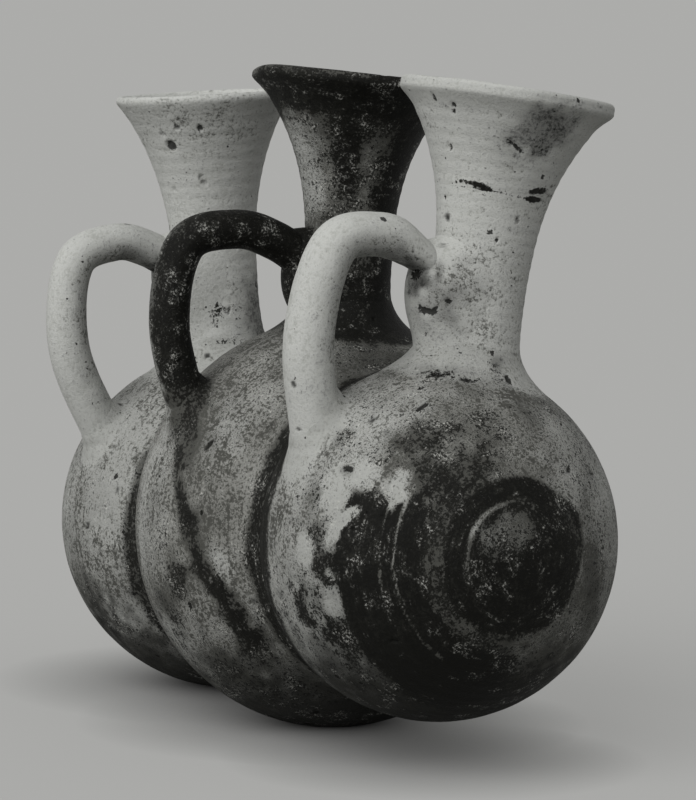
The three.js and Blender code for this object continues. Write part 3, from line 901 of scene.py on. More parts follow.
# The globes' paint, by degrees from the front pole and by turn round the row
GLOBE_COATS = {
    # A bull's eye with a reserved ring, a broad crescent with two reserved lines, and worn clay between
    Place.FRONT: Coat(
        seed=10,
        slip=Ground(0.36, 0.10, 9.0),
        chalk=Ground(0.28, 0.12, 14.0),
        soot=Ground(0.10, 0.08, 16.0),
        marks=(
            Stripe(SLIP, -5.0, 26.6, 0.68, soft=1.6),
            Stripe(SLIP, 18.2, 20.0, -0.62, soft=0.7, middle=20.0, half=62.0, ragged=0.4),
            Stripe(SLIP, 34.5, 61.5, 0.90, soft=2.4, middle=-38.0, half=56.0),
            Stripe(SLIP, 41.9, 43.0, -0.95, soft=0.6, middle=-22.0, half=44.0, ragged=0.5),
            Stripe(SLIP, 46.5, 47.6, -0.80, soft=0.6, middle=-16.0, half=30.0, ragged=0.5),
            Stripe(SLIP, 27.0, 34.5, 0.30, soft=1.2, middle=-20.0, half=70.0),
            Stripe(CHALK, 58.0, 130.0, 0.28, soft=4.0, middle=0.0, half=60.0, fade=20.0),
            Stripe(SLIP, 61.0, 130.0, -0.14, soft=3.0, middle=16.0, half=50.0, fade=16.0),
            Mark(SLIP, 9.0, 60.0, 10.0, 70.0, -0.43),
            Mark(CHALK, 9.0, 40.0, 12.0, 80.0, 0.20),
            Mark(SLIP, 15.0, 30.0, 5.0, 40.0, -0.12),
            Mark(SLIP, 17.0, -100.0, 10.0, 70.0, 0.25),
            Mark(SLIP, 23.0, 170.0, 5.0, 60.0, -0.30),
            Mark(CHALK, 48.0, 23.0, 4.4, 7.6, 0.50, ragged=1.6),
            Mark(SLIP, 48.0, 23.0, 4.6, 8.2, -1.20, ragged=1.6),
            Mark(CHALK, 58.0, 21.0, 6.0, 6.0, 0.30, ragged=1.4),
            Mark(SLIP, 58.0, 21.0, 6.0, 6.4, -0.72, ragged=1.4),
            Mark(CHALK, 66.0, 15.0, 6.0, 7.0, 0.24, ragged=1.2),
            Mark(SLIP, 66.0, 13.0, 5.0, 7.0, -0.40, ragged=1.2),
            Mark(CHALK, 71.0, 20.0, 7.0, 8.0, 0.06, ragged=1.0),
            # painted shadow in the hollow beside the handle's foot
            Mark(SLIP, 75.0, 31.0, 4.0, 4.0, 0.26, ragged=1.0),
            Mark(SOOT, 75.0, 30.0, 5.0, 5.0, 0.24),
            Mark(SLIP, 52.0, 48.0, 5.0, 10.0, 0.26, ragged=1.0),
            Mark(CHALK, 75.0, -8.5, 3.0, 4.4, 0.42, ragged=1.2),
            Mark(SLIP, 75.0, -8.5, 3.4, 5.0, -0.40, ragged=1.2),
            Mark(CHALK, 65.8, -26.8, 3.4, 4.6, 0.26, ragged=1.2),
            Mark(SLIP, 65.8, -26.8, 3.6, 4.8, -0.44, ragged=1.2),
            Mark(SLIP, 74.0, 5.0, 8.0, 9.0, 0.22, ragged=1.0),
            Mark(SLIP, 69.5, -1.5, 4.4, 5.0, 0.34, ragged=1.4),
            Mark(SLIP, 67.5, -12.5, 4.4, 6.0, 0.60, ragged=1.0),
            Mark(SLIP, 62.5, -11.0, 4.0, 6.0, 0.70, ragged=1.0),
            Mark(SLIP, 60.0, 4.0, 2.8, 8.0, -0.95, -0.6, ragged=1.2),
            Mark(CHALK, 60.0, 4.0, 3.0, 8.0, 0.32, -0.6, ragged=1.2),
            Mark(SLIP, 74.0, -29.0, 10.0, 11.0, 0.30, ragged=1.0),
            Mark(CHALK, 76.0, -30.0, 12.0, 14.0, 0.12, ragged=1.0),
            Mark(CHALK, 89.0, -38.0, 7.0, 10.0, 0.25),
            Mark(CHALK, 84.0, 14.0, 7.0, 9.0, 0.20),
            Mark(SLIP, 80.5, -27.0, 4.6, 8.0, 0.30, ragged=1.0),
            Mark(SLIP, 68.0, -42.0, 6.0, 12.0, 0.28),
            Mark(SCAR, 65.8, 21.8, 2.4, 1.4, 0.95, 0.3),
            # painted shadow under the chipped edge
            Mark(SOOT, 65.8, 20.6, 3.0, 2.0, 0.40),
            Mark(SLIP, 41.0, 36.0, 7.0, 12.0, 0.28),
            Mark(SLIP, 35.0, 48.0, 6.0, 24.0, 0.22),
            Mark(SLIP, 46.0, 54.0, 5.0, 9.0, 0.24),
            Mark(SLIP, 44.0, 72.0, 8.0, 12.0, 0.18),
            Mark(CHALK, 36.0, 92.0, 3.0, 14.0, 0.15),
            Mark(SLIP, 62.0, -100.0, 26.0, 36.0, 0.26),
            Mark(CHALK, 52.0, 140.0, 34.0, 46.0, 0.22),
            # painted shade: darkens the globe's underside
            Mark(SOOT, 72.0, -90.0, 42.0, 58.0, 0.80),
            Mark(SLIP, 37.8, -86.0, 5.0, 12.0, -0.24, ragged=1.0),
            Mark(SCAR, 61.8, 56.7, 0.9, 3.2, 0.9, 0.15),
            Mark(SCAR, 70.0, 62.0, 0.8, 1.6, 0.8),
        ),
    ),
    # Bare turned clay with one dark drip from the handle's foot
    Place.MIDDLE: Coat(
        seed=20,
        slip=Ground(0.20, 0.08, 10.0),
        chalk=Ground(0.26, 0.14, 16.0),
        soot=Ground(0.10, 0.06, 18.0),
        marks=(
            Mark(SLIP, 83.0, 27.0, 6.0, 11.0, 0.36, 0.5),
            Mark(SLIP, 77.0, 9.5, 3.4, 10.0, 0.36, 0.6),
            Mark(SLIP, 71.8, -2.0, 4.4, 11.0, 0.44, 0.34),
            Mark(SLIP, 66.0, -15.5, 4.0, 9.0, 0.44, 0.42),
            Mark(SLIP, 62.6, -28.0, 5.0, 11.0, 0.40, 0.1),
            Mark(SLIP, 61.0, -38.0, 5.0, 10.0, 0.32),
            Mark(SOOT, 74.0, 6.0, 5.0, 26.0, 0.12, 0.45),
            Mark(CHALK, 60.6, -10.8, 4.0, 6.0, 0.3),
            Mark(CHALK, 63.5, -7.0, 3.0, 4.0, 0.2),
            Mark(SLIP, 87.0, -14.0, 10.0, 16.0, 0.20),
            Mark(SLIP, 78.6, -15.5, 4.0, 6.0, 0.3),
            Mark(SLIP, 86.0, -26.0, 5.0, 7.0, 0.20),
            Mark(CHALK, 92.0, 10.0, 10.0, 30.0, 0.25),
            Mark(CHALK, 70.0, 28.0, 8.0, 10.0, 0.20),
            Mark(CHALK, 100.0, -4.0, 8.0, 14.0, 0.18),
            Mark(CHALK, 90.0, -34.0, 9.0, 9.0, 0.28),
            Mark(SLIP, 80.0, -58.0, 40.0, 28.0, 0.26),
            Mark(CHALK, 80.0, -54.0, 40.0, 26.0, 0.22),
            # painted shade: darkens the globe's underside
            Mark(SOOT, 84.0, -92.0, 54.0, 52.0, 0.80),
            # painted shade, with some slip, on the shoulder that sits behind the front handle
            Mark(SOOT, 60.0, 82.0, 12.0, 18.0, 0.40),
            Mark(SLIP, 60.0, 84.0, 10.0, 16.0, 0.25),
            Mark(SCAR, 72.6, 25.0, 0.9, 2.2, 0.9, -0.3),
            Mark(SCAR, 76.3, -23.0, 1.0, 1.3, 0.9),
        ),
    ),
    # Pale, mottled clay, darkened below by painted shade
    Place.BACK: Coat(
        seed=30,
        slip=Ground(0.14, 0.14, 12.0),
        chalk=Ground(0.48, 0.16, 14.0),
        soot=Ground(0.14, 0.12, 10.0),
        marks=(
            Mark(CHALK, 95.0, 26.0, 30.0, 26.0, 0.16),
            Mark(SLIP, 95.0, -18.0, 16.0, 12.0, 0.20),
            Mark(SLIP, 80.0, -40.0, 14.0, 12.0, 0.25),
            Mark(SLIP, 110.0, -35.0, 14.0, 10.0, 0.35),
            # painted shade: darkens the globe's underside
            Mark(SOOT, 88.0, -88.0, 64.0, 62.0, 0.82),
            Mark(SOOT, 96.0, -24.0, 16.0, 12.0, 0.26),
        ),
    ),
}

# The necks' paint, by height from the globe's centre and by bearing round the neck
NECK_COATS = {
    # Pale slip with the dashes of a worn ring, hair cracks and a crack where the foot was luted on
    Place.FRONT: Coat(
        seed=40,
        slip=Ground(-0.14, 0.05, 9.0),
        chalk=Ground(0.82, 0.12, 16.0),
        soot=Ground(0.08, 0.06, 9.0),
        marks=(
            Mark(SLIP, 81.4, 48.0, 0.8, 13.0, 1.2, -0.04, ragged=0.2),
            Mark(SLIP, 81.9, 29.0, 0.6, 6.0, 0.7),
            Mark(SLIP, 79.4, 56.0, 0.6, 8.0, 0.5),
            Mark(SLIP, 82.3, 112.0, 0.9, 14.0, 1.1, 0.03, ragged=0.3),
            Mark(SLIP, 80.2, 108.0, 0.8, 13.0, 1.0, 0.03, ragged=0.3),
            Stripe(SLIP, 80.1, 80.7, 0.55, soft=0.35, middle=74.0, half=58.0, ragged=0.3),
            Mark(SCAR, 91.0, 74.5, 0.6, 9.0, 0.9, -0.16),
            Mark(SOOT, 96.0, 88.0, 6.0, 24.0, 0.54),
            Mark(SLIP, 96.0, 88.0, 4.4, 24.0, 0.26, ragged=1.0),
            Mark(SLIP, 90.5, 96.0, 4.0, 22.0, 0.20, ragged=1.0),
            Mark(SOOT, 90.0, 70.0, 4.0, 26.0, 0.22),
            Mark(SLIP, 91.0, 55.0, 2.4, 16.0, 0.20, ragged=1.0),
            # painted shade on the side of the neck turned from the light
            Mark(SOOT, 76.0, 132.0, 34.0, 40.0, 0.06),
            Mark(CHALK, 102.0, 70.0, 2.8, 110.0, 0.5),
            Mark(SCAR, 51.4, 19.5, 0.9, 7.0, 1.1),
            Mark(SCAR, 52.2, 12.5, 0.6, 3.5, 0.9, -0.16),
            Mark(SCAR, 52.4, 26.5, 0.8, 3.0, 0.9, 0.2),
            Mark(SCAR, 54.3, 36.5, 0.6, 2.6, 0.9),
            Mark(SOOT, 55.0, 18.0, 8.0, 34.0, 0.12),
            Mark(SOOT, 59.0, 30.0, 9.0, 40.0, 0.16),
            Mark(CHALK, 58.0, 32.0, 9.0, 30.0, -0.26),
            Mark(SOOT, 46.0, 50.0, 8.0, 60.0, 0.14),
            Mark(SCAR, 96.8, 27.4, 0.6, 1.6, 0.9),
            Mark(SCAR, 98.3, 28.2, 0.5, 1.4, 0.9),
            Mark(SCAR, 89.0, 19.1, 0.8, 2.0, 0.7),
            Mark(SCAR, 77.8, 4.9, 0.5, 2.0, 0.9),
            Mark(SCAR, 69.8, 74.7, 0.5, 2.0, 0.8),
            Mark(SCAR, 46.3, 15.6, 0.5, 2.0, 0.8),
            Mark(SCAR, 99.5, 14.6, 3.2, 0.8, 0.8),
            Stripe(SCAR, 37.0, 38.2, 0.60, soft=0.9, middle=52.0, half=30.0, ragged=2.4),
            Mark(SCAR, 39.0, 100.6, 0.9, 3.2, 1.0),
            Stripe(SLIP, 35.0, 39.0, 0.48, soft=1.6, middle=50.0, half=48.0, ragged=2.4),
            Mark(SOOT, 37.0, 52.0, 3.0, 54.0, 0.30),
            Mark(SLIP, 41.5, 87.0, 1.6, 7.0, 0.50, ragged=1.0),
            Mark(SLIP, 37.0, 38.0, 2.4, 16.0, 0.30, ragged=1.2),
            Mark(SCAR, 36.8, 42.0, 1.0, 5.0, 0.60, ragged=1.2),
            Mark(SCAR, 37.2, 62.0, 0.8, 6.0, 0.60, ragged=1.2),
            Mark(SOOT, 42.5, 92.0, 1.6, 8.0, 0.4),
        ),
    ),
    # A dark rim band over mottled clay, darkest towards the front
    Place.MIDDLE: Coat(
        seed=50,
        slip=Ground(0.55, 0.06, 6.0),
        chalk=Ground(0.26, 0.12, 8.0),
        soot=Ground(0.10, 0.05, 10.0),
        marks=(
            Stripe(SLIP, 98.2, 105.4, 0.66, soft=3.4, ragged=2.0),
            Stripe(SLIP, 0.0, 100.0, 0.50, soft=3.0, middle=150.0, half=53.0, fade=12.0),
            Stripe(SLIP, 105.4, 120.0, -0.10, soft=0.6),
            Stripe(SLIP, 97.0, 105.4, 0.36, soft=3.0, middle=130.0, half=70.0, fade=20.0),
            Mark(SLIP, 87.0, 73.0, 3.6, 7.0, -0.26),
            Mark(SLIP, 88.0, 56.0, 9.0, 9.0, 0.26),
            Mark(SLIP, 84.0, 57.0, 8.0, 16.0, 0.28),
            Mark(SLIP, 91.0, 62.0, 6.0, 16.0, 0.22),
            Mark(CHALK, 84.0, 2.0, 14.0, 30.0, 0.40),
            Mark(SLIP, 84.0, 0.0, 13.0, 34.0, -0.24),
            # dark slip deepened by painted shade, low on the neck's front side behind the front handle
            Mark(SLIP, 52.0, 70.0, 9.0, 80.0, 0.32),
            Mark(SLIP, 43.0, 80.0, 6.0, 60.0, 0.22, ragged=1.0),
            Mark(SOOT, 52.0, 70.0, 10.0, 80.0, 0.30),
        ),
    ),
    # Pale pitted slip, greyer towards the front
    Place.BACK: Coat(
        seed=60,
        slip=Ground(-0.06, 0.06, 8.0),
        chalk=Ground(0.95, 0.10, 12.0),
        soot=Ground(0.0, 0.03, 10.0),
        marks=(
            Mark(SCAR, 93.4, 30.4, 1.2, 5.0, 1.0),
            Mark(SCAR, 97.5, 60.0, 0.8, 3.0, 0.8),
            # painted shade on the side of the neck turned from the light
            Mark(SOOT, 80.0, 136.0, 40.0, 34.0, 0.10),
            Mark(CHALK, 99.0, 90.0, 10.0, 80.0, -0.20),
            Mark(SLIP, 52.0, 62.0, 4.0, 12.0, 0.50),
            # painted shade low on the side turned from the light, beside the middle handle
            Mark(SOOT, 49.0, 134.0, 12.0, 36.0, 0.56),
            Mark(SLIP, 44.8, 72.0, 1.2, 30.0, 0.5),
            Mark(SLIP, 52.0, 92.0, 4.0, 14.0, 0.4),
        ),
    ),
}

PALE_HANDLE_COAT = Coat(
    seed=70,
    slip=Ground(-0.10, 0.05, 8.0),
    chalk=Ground(1.10, 0.05, 12.0),
    soot=Ground(0.03, 0.04, 10.0),
    marks=(
        # painted shade under the handle's root
        Mark(SOOT, 15.0, 170.0, 8.0, 64.0, 0.40),
        Mark(SOOT, 0.0, 80.0, 7.0, 66.0, 0.26),
        Mark(CHALK, 0.0, 80.0, 8.0, 66.0, -0.46),
        # painted shade: a dark crease, lightly cut, where the handle's underside meets the clay at its root
        Mark(SCAR, 12.6, 164.0, 1.7, 44.0, 0.80),
        # painted shade under the arch
        Mark(SOOT, 26.0, 175.0, 24.0, 70.0, 0.30),
        # painted shade, and thinner pale slip, on the inner side of the loop
        Mark(SOOT, 58.0, 125.0, 50.0, 48.0, 0.26),
        Mark(CHALK, 50.0, 135.0, 60.0, 60.0, -0.44),
    ),
)

# The handles' paint, by percent of the way from root to foot and by degrees round the strap
HANDLE_COATS = {
    Place.FRONT: PALE_HANDLE_COAT,
    # Dark slip, worn on the outside and towards the rear
    Place.MIDDLE: Coat(
        seed=80,
        slip=Ground(1.0, 0.08, 7.0),
        chalk=Ground(0.35, 0.10, 8.0),
        soot=Ground(0.10, 0.05, 9.0),
        marks=(
            Mark(SLIP, 66.0, -60.0, 50.0, 76.0, -0.52),
            Mark(CHALK, 66.0, -50.0, 54.0, 80.0, 0.20),
            Mark(SLIP, 95.0, 0.0, 7.0, 150.0, -0.46),
        ),
    ),
    Place.BACK: PALE_HANDLE_COAT,
}


@dataclass(frozen=True)
class WaistBand:
    """Dark slip brushed along a waist, between two stations measured from the seam."""

    low: float
    high: float
    amount: float
    soft: float = 1.8
    ragged: float = 1.2

    def weigh(self, station: Array, shake: Array) -> Array:
        """Level of slip at stations from the seam, with the band's edges shaken by a noise."""
        return self.amount * band(station + self.ragged * shake, self.low, self.high, self.soft)


FRONT_BAND = WaistBand(low=-1.4, high=16.5, amount=0.90, soft=2.8)
BACK_BAND = WaistBand(low=-7.0, high=8.6, amount=0.74)
NECK_BLEND_SIDE = (3.5, 9.0)  # where the neck's paint gives way to the globe's, out from the neck's foot
NECK_BLEND_RISE = (-7.0, -3.0, 6.0)  # and up from the globe's top


def body_paint(place: Place, points: Array) -> Levels:
    """Paint of a juglet's body, from its globe up into its neck, with the bands round the waists.

    Args:
        place: The juglet.
        points: Points in the object's frame, in millimetres.

    Returns:
        Each channel's level at each point.
    """
    form = FORMS[place]
    local = moved(points, np.linalg.inv(ROW.juglet_matrix(place)))
    station = moved(points, np.linalg.inv(ROW.matrix()))[:, 0]
    surface = globe_surface(local)
    globe = GLOBE_COATS[place].levels(surface)
    for waist, seam in ((FRONT_BAND, ROW.front_seam), (BACK_BAND, ROW.back_seam)):
        brushed = waist.weigh(station - seam, surface.swell)
        globe[SLIP] = np.maximum(globe[SLIP], brushed)
    out = np.hypot(local[:, 0], local[:, 1]) - form.throat - form.foot_flare
    up = local[:, 2] - form.radius
    start, full, clear = NECK_BLEND_RISE
    beside = smooth(up, start, full) * (1.0 - smooth(out, *NECK_BLEND_SIDE))
    neck = NECK_COATS[place].levels(neck_surface(local))
    return mixed(globe, neck, np.maximum(beside, smooth(up, full, clear)))


def linear(colour: str) -> tuple[float, float, float, float]:
    """Linear colour of an sRGB hex value such as #A0A09C.

    Args:
        colour: The hex value.

    Returns:
        Red, green, blue and full opacity.
    """
    shares = [int(colour[i : i + 2], 16) / 255 for i in (1, 3, 5)]
    return (*(s / 12.92 if s <= 0.04045 else ((s + 0.055) / 1.055) ** 2.4 for s in shares), 1.0)


@dataclass(frozen=True)
class Field:
    """A noise over the clay: its size in millimetres, and how much finer detail it has."""

    size: float
    detail: float
    roughness: float
    turned: bool = False  # whether it runs along the turning lines


@dataclass(frozen=True)
class Veil:
    """How a layer breaks up: its level, what shakes that level, and where it starts and is full."""

    level: str | float  # an attribute's name, or one level all over
    breakup: dict[str, float]
    low: float
    high: float
    most: float = 1.0


# Noises that break up the clay and the slip. White rub marks are finer than a pixel, and are drawn
# as coarse as this so that they show.
FIELDS = {
    "cloud": Field(15.0, 3.0, 0.55),
    "wear": Field(5.0, 8.0, 0.70),
    "grain": Field(0.8, 5.0, 0.75),
    "rub": Field(0.55, 4.0, 0.75),
    "brush": Field(1.1, 4.0, 0.65, turned=True),
}
VEILS = {
    "clay": Veil(0.5, {"cloud": 0.9, "wear": 1.0, "grain": 2.8, "brush": 1.0}, 0.28, 0.72),
    "wash": Veil(CHALK.value, {"cloud": 0.7, "wear": 0.9, "grain": 1.8, "brush": 0.6}, 0.24, 0.76),
    "wash tone": Veil(0.5, {"wear": 0.8, "grain": 1.5, "brush": 0.6}, 0.15, 0.7),
    "slip": Veil(SLIP.value, {"wear": 1.5, "grain": 2.6, "brush": 1.0}, 0.36, 0.70),
    "slip tone": Veil(0.5, {"wear": 1.2, "grain": 1.8, "brush": 0.8}, 0.36, 0.95),
    # darkens where there is dark staining and painted shade
    "stain_and_shade": Veil(SOOT.value, {"wear": 1.0, "grain": 1.7, "cloud": 0.4, "brush": 0.7}, 0.0, 1.0, 0.92),
    "scar": Veil(SCAR.value, {"grain": 2.0, "wear": 0.8}, 0.45, 0.65),
    "rub": Veil(0.5, {"rub": 3.4}, 0.52, 0.86),
}
# Where the rub marks lie. Each finish sets its level.
RUBBED_AREA = Veil(0.0, {"wear": 2.6, "cloud": 1.0, "brush": 1.2}, 0.2, 0.75, 0.9)
RELIEF = {"wear": 0.7, "grain": 0.7, "brush": 0.35}
PORE_SPACINGS = (3.0, 1.3)
PORE_RADIUS = 0.26  # of the largest pores, as a share of their spacing
PORE_EDGE = 0.06
PORE_FINENESS = 3.0  # how many times finer than the pores' spacing their outlines wander
PORE_SWAY = 0.5  # and how far, as a share of that spacing
BUMP_HEIGHT = 0.45
HOLE_DARKNESS = 0.9


@dataclass(frozen=True)
class WornSlip:
    """Hand-painted clay slip on an earthenware body, matt, rubbed through and stained by burial.

    The eye gets soft, broken edges where the slip has worn off the paler body, white rub marks all through
    the dark paint, fine brush lines round the turned forms and dark open pores. The dark staining layer also
    carries painted shade.
    """

    name: str
    clay: str = "#868681"
    clay_deep: str = "#484844"
    chalk: str = "#ABACA8"
    chalk_deep: str = "#91928D"
    slip: str = "#0B0B08"
    slip_worn: str = "#252521"
    rubbed: str = "#BCBCB6"
    pore: str = "#0C0C09"
    # colour of the dark staining, also used for painted shade
    soot: str = "#0F0F0C"
    rub: float = 0.12  # how much of the surface shows rub marks
    pores: float = 0.08  # share of the pores that are open
    roughness: float = 0.86
    slip_roughness: float = 0.62
    ior: float = 1.5
    gloss: float = 0.12
    bump: float = 0.8

    def material(self) -> bpy.types.Material:
        """Builds the material from its layers.

        Returns:
            The material: body, pale wash, dark slip, dark staining with painted shade, rub marks, holes and
                relief.
        """
        made = bpy.data.materials.new(self.name)
        made.use_nodes = True
        tree = made.node_tree
        tree.nodes.clear()
        place = node(tree, "ShaderNodeTexCoord", output="Object")
        fields_by_name = self.noises(tree, place)
        veils = VEILS | {"rubbed area": replace(RUBBED_AREA, level=self.rub)}
        share = {name: self.breakup(tree, veil, fields_by_name) for name, veil in veils.items()}
        both = {0: share["rub"], 1: share["rubbed area"]}
        share["rub"] = node(tree, "ShaderNodeMath", both, operation="MULTIPLY")
        colour = self.layered(tree, share)
        pit = node(tree, "ShaderNodeAttribute", output="Fac", attribute_name="pit")
        hole = node(tree, "ShaderNodeMath", {0: self.open_pores(tree, place), 1: pit}, operation="MAXIMUM")
        hole = node(tree, "ShaderNodeMath", {0: hole, 1: share["scar"]}, operation="MAXIMUM")
        dark = node(tree, "ShaderNodeMath", {0: hole, 1: HOLE_DARKNESS}, operation="MULTIPLY")
        holed = {0: dark, MIX_FROM: colour, MIX_TO: linear(self.pore)}
        colour = node(tree, "ShaderNodeMix", holed, MIX_RESULT, data_type="RGBA")
        relief = node(tree, "ShaderNodeMath", {0: 0.0, 1: hole}, operation="SUBTRACT")
        for name, weight in RELIEF.items():
            heap = {0: fields_by_name[name], 1: weight, 2: relief}
            relief = node(tree, "ShaderNodeMath", heap, operation="MULTIPLY_ADD")
        raised = {"Height": relief, "Strength": self.bump, "Distance": BUMP_HEIGHT * MM}
        ease = {"Value": share["slip"], 3: self.roughness, 4: self.slip_roughness}
        surface = {
            "Base Color": colour,
            "Roughness": node(tree, "ShaderNodeMapRange", ease),
            "IOR": self.ior,
            "Specular IOR Level": self.gloss,
            "Normal": node(tree, "ShaderNodeBump", raised),
        }
        shader = node(tree, "ShaderNodeBsdfPrincipled", surface)
        node(tree, "ShaderNodeOutputMaterial", {"Surface": shader})
        return made

    @staticmethod
    def noises(tree: bpy.types.NodeTree, place: bpy.types.NodeSocket) -> dict[str, bpy.types.NodeSocket]:
        """Adds the noises of the clay.

        Args:
            tree: The material's tree.
            place: The socket that gives Object coordinates.

        Returns:
            Each noise about nought, by name.
        """
        lay = node(tree, "ShaderNodeAttribute", output="Vector", attribute_name="lay")
        made = {}
        for name, field in FIELDS.items():
            inputs = {
                "Vector": lay if field.turned else place,
                "Scale": 1 / (field.size * MM),
                "Detail": field.detail,
                "Roughness": field.roughness,
            }
            noise = node(tree, "ShaderNodeTexNoise", inputs)
            made[name] = node(tree, "ShaderNodeMath", {0: noise, 1: NOISE_MIDDLE}, operation="SUBTRACT")
        return made

    @staticmethod
    def breakup(
        tree: bpy.types.NodeTree, veil: Veil, noises: dict[str, bpy.types.NodeSocket]
    ) -> bpy.types.NodeSocket:
        """Adds one broken-up layer.

        Args:
            tree: The material's tree.
            veil: How the layer breaks up.
            noises: The noises of the clay, by name.

        Returns:
            The socket that gives how much of the layer is left at a point.
        """
        level = veil.level
        if isinstance(level, str):
            level = node(tree, "ShaderNodeAttribute", output="Fac", attribute_name=level)
        for name, weight in veil.breakup.items():
            shaken = {0: noises[name], 1: weight, 2: level}
            level = node(tree, "ShaderNodeMath", shaken, operation="MULTIPLY_ADD")
        ease = {"Value": level, 1: veil.low, 2: veil.high, 3: 0.0, 4: veil.most}
        return node(tree, "ShaderNodeMapRange", ease, interpolation_type="SMOOTHSTEP")

    def layered(
        self, tree: bpy.types.NodeTree, share: dict[str, bpy.types.NodeSocket]
    ) -> bpy.types.NodeSocket:
        """Lays the colours over each other.

        Args:
            tree: The material's tree.
            share: How much of each layer is left, by the layer's name.

        Returns:
            The socket that gives the colour.
        """
        pairs = {
            "clay": (self.clay_deep, self.clay),
            "wash tone": (self.chalk_deep, self.chalk),
            "slip tone": (self.slip, self.slip_worn),
        }
        tone = {}
        for name, (deep, light) in pairs.items():
            inputs = {0: share[name], MIX_FROM: linear(deep), MIX_TO: linear(light)}
            tone[name] = node(tree, "ShaderNodeMix", inputs, MIX_RESULT, data_type="RGBA")
        colour = tone["clay"]
        layers = {
            "wash": tone["wash tone"],
            "slip": tone["slip tone"],
            "stain_and_shade": linear(self.soot),
            "rub": linear(self.rubbed),
        }
        for name, over in layers.items():
            inputs = {0: share[name], MIX_FROM: colour, MIX_TO: over}
            colour = node(tree, "ShaderNodeMix", inputs, MIX_RESULT, data_type="RGBA")
        return colour

    def open_pores(self, tree: bpy.types.NodeTree, place: bpy.types.NodeSocket) -> bpy.types.NodeSocket:
        """Adds scattered pores of many sizes.

        Args:
            tree: The material's tree.
            place: The socket that gives Object coordinates.

        Returns:
            The socket that is 1 in an open pore and 0 outside.
        """
        holes = 0.0
        for spacing in PORE_SPACINGS:
            sway = {"Vector": place, "Scale": PORE_FINENESS / (spacing * MM)}
            drift = node(tree, "ShaderNodeTexNoise", sway, "Color")
            reach = {0: drift, 1: (PORE_SWAY * spacing * MM,) * 3, 2: place}
            drifted = node(tree, "ShaderNodeVectorMath", reach, operation="MULTIPLY_ADD")
            spaced = {"Vector": drifted, "Scale": 1 / (spacing * MM)}
            cells = node(tree, "ShaderNodeTexVoronoi", spaced, "Distance")
            pick = node(tree, "ShaderNodeSeparateColor", {0: cells.node.outputs["Color"]})
            sized = {0: pick.node.outputs[1], 1: PORE_RADIUS}
            radius = node(tree, "ShaderNodeMath", sized, operation="MULTIPLY")
            inside = node(tree, "ShaderNodeMath", {0: radius, 1: cells}, operation="SUBTRACT")
            ease = {"Value": inside, 1: 0.0, 2: PORE_EDGE}
            hollow = node(tree, "ShaderNodeMapRange", ease, interpolation_type="SMOOTHSTEP")
            opened = node(tree, "ShaderNodeMath", {0: pick, 1: self.pores}, operation="LESS_THAN")
            holes = node(tree, "ShaderNodeMath", {0: hollow, 1: opened, 2: holes}, operation="MULTIPLY_ADD")
        return holes


FINISHES = {
    # Bare turned clay with brushed bands of dark slip: matt, mottled, with broken edges
    Slot.BANDED: WornSlip("worn_banded_slip"),
    # A thick coat of pale slip: chalky and even, with open pores and no white rub marks
    Slot.PALE: WornSlip("worn_pale_slip", chalk="#BDBEBA", chalk_deep="#A2A39E", rub=-0.5, pores=0.07),
    # Iron-rich slip fired nearly black: a faint sheen, rubbed to pale flecks
    Slot.DARK: WornSlip("worn_dark_slip", rub=0.20),
    # Wet clay smeared over the joins: the paint of what it joins, on a more open skin
    Slot.LUTING: WornSlip("smeared_luting_clay", pores=0.12),
}


class Workshop:
    """Keeps the trees and materials, and turns skins into finished pieces."""

    def __init__(self) -> None:
        """Builds the trees and the materials once."""
        self.weather_tree = weather_tree()
        self.handle_tree = handle_tree()
        self.materials = {slot: finish.material() for slot, finish in FINISHES.items()}

    def piece(
        self,
        name: str,
        skin: Skin,
        slot: Slot,
        weathering: Weathering,
        paint: Callable[[Array], Levels],
    ) -> None:
        """Makes one finished piece in place of its CAD node.

        Args:
            name: The CAD node's name.
            skin: The piece's closed surface.
            slot: The record's material slot.
            weathering: How the surface is worn.
            paint: Gives the levels of paint at points in the object's frame.
        """
        skin = skin.outward()
        mesh = bpy.data.meshes.new(f"{name}_turned")
        mesh.from_pydata((skin.points * MM).tolist(), [], skin.faces)
        lay = mesh.attributes.new("lay", "FLOAT_VECTOR", "POINT")
        lay.data.foreach_set("vector", (skin.lay * MM).astype(np.float32).ravel())
        for channel, level in paint(skin.points).items():
            stored = mesh.attributes.new(channel.value, "FLOAT", "POINT")
            stored.data.foreach_set("value", level.astype(np.float32))
        obj = bpy.data.objects.new(f"{name}_skin", mesh)
        bpy.context.scene.collection.objects.link(obj)
        values = weathering.inputs() | {"Material": self.materials[slot]}
        obj.data = plain_mesh(obj, self.weather_tree, values)
        bpy.data.meshes.remove(mesh)
        self.stand(obj.data)
        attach(obj, BODY)
        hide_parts(name)
        LOG.info("%s: %d faces in %s", name, len(obj.data.polygons), slot.value)

    @staticmethod
    def stand(mesh: bpy.types.Mesh) -> None:
        """Keeps a mesh inside the CAD model's box, flat where it rests, and shades it smooth.

        Args:
            mesh: The weathered mesh.
        """
        points = np.empty(len(mesh.vertices) * 3, dtype=np.float32)
        mesh.vertices.foreach_get("co", points)
        kept = np.clip(points.reshape(-1, 3), *np.array(CAD_BOX, dtype=np.float32))
        mesh.vertices.foreach_set("co", kept.ravel())
        mesh.shade_smooth()
        mesh.update()


LAY_ROUND_NECK = 4.0  # how fast brush lines change along a turn, in millimetres of pattern a radian
LAY_ROUND_ROW = 3.0
LAY_ALONG_HANDLE = 0.25


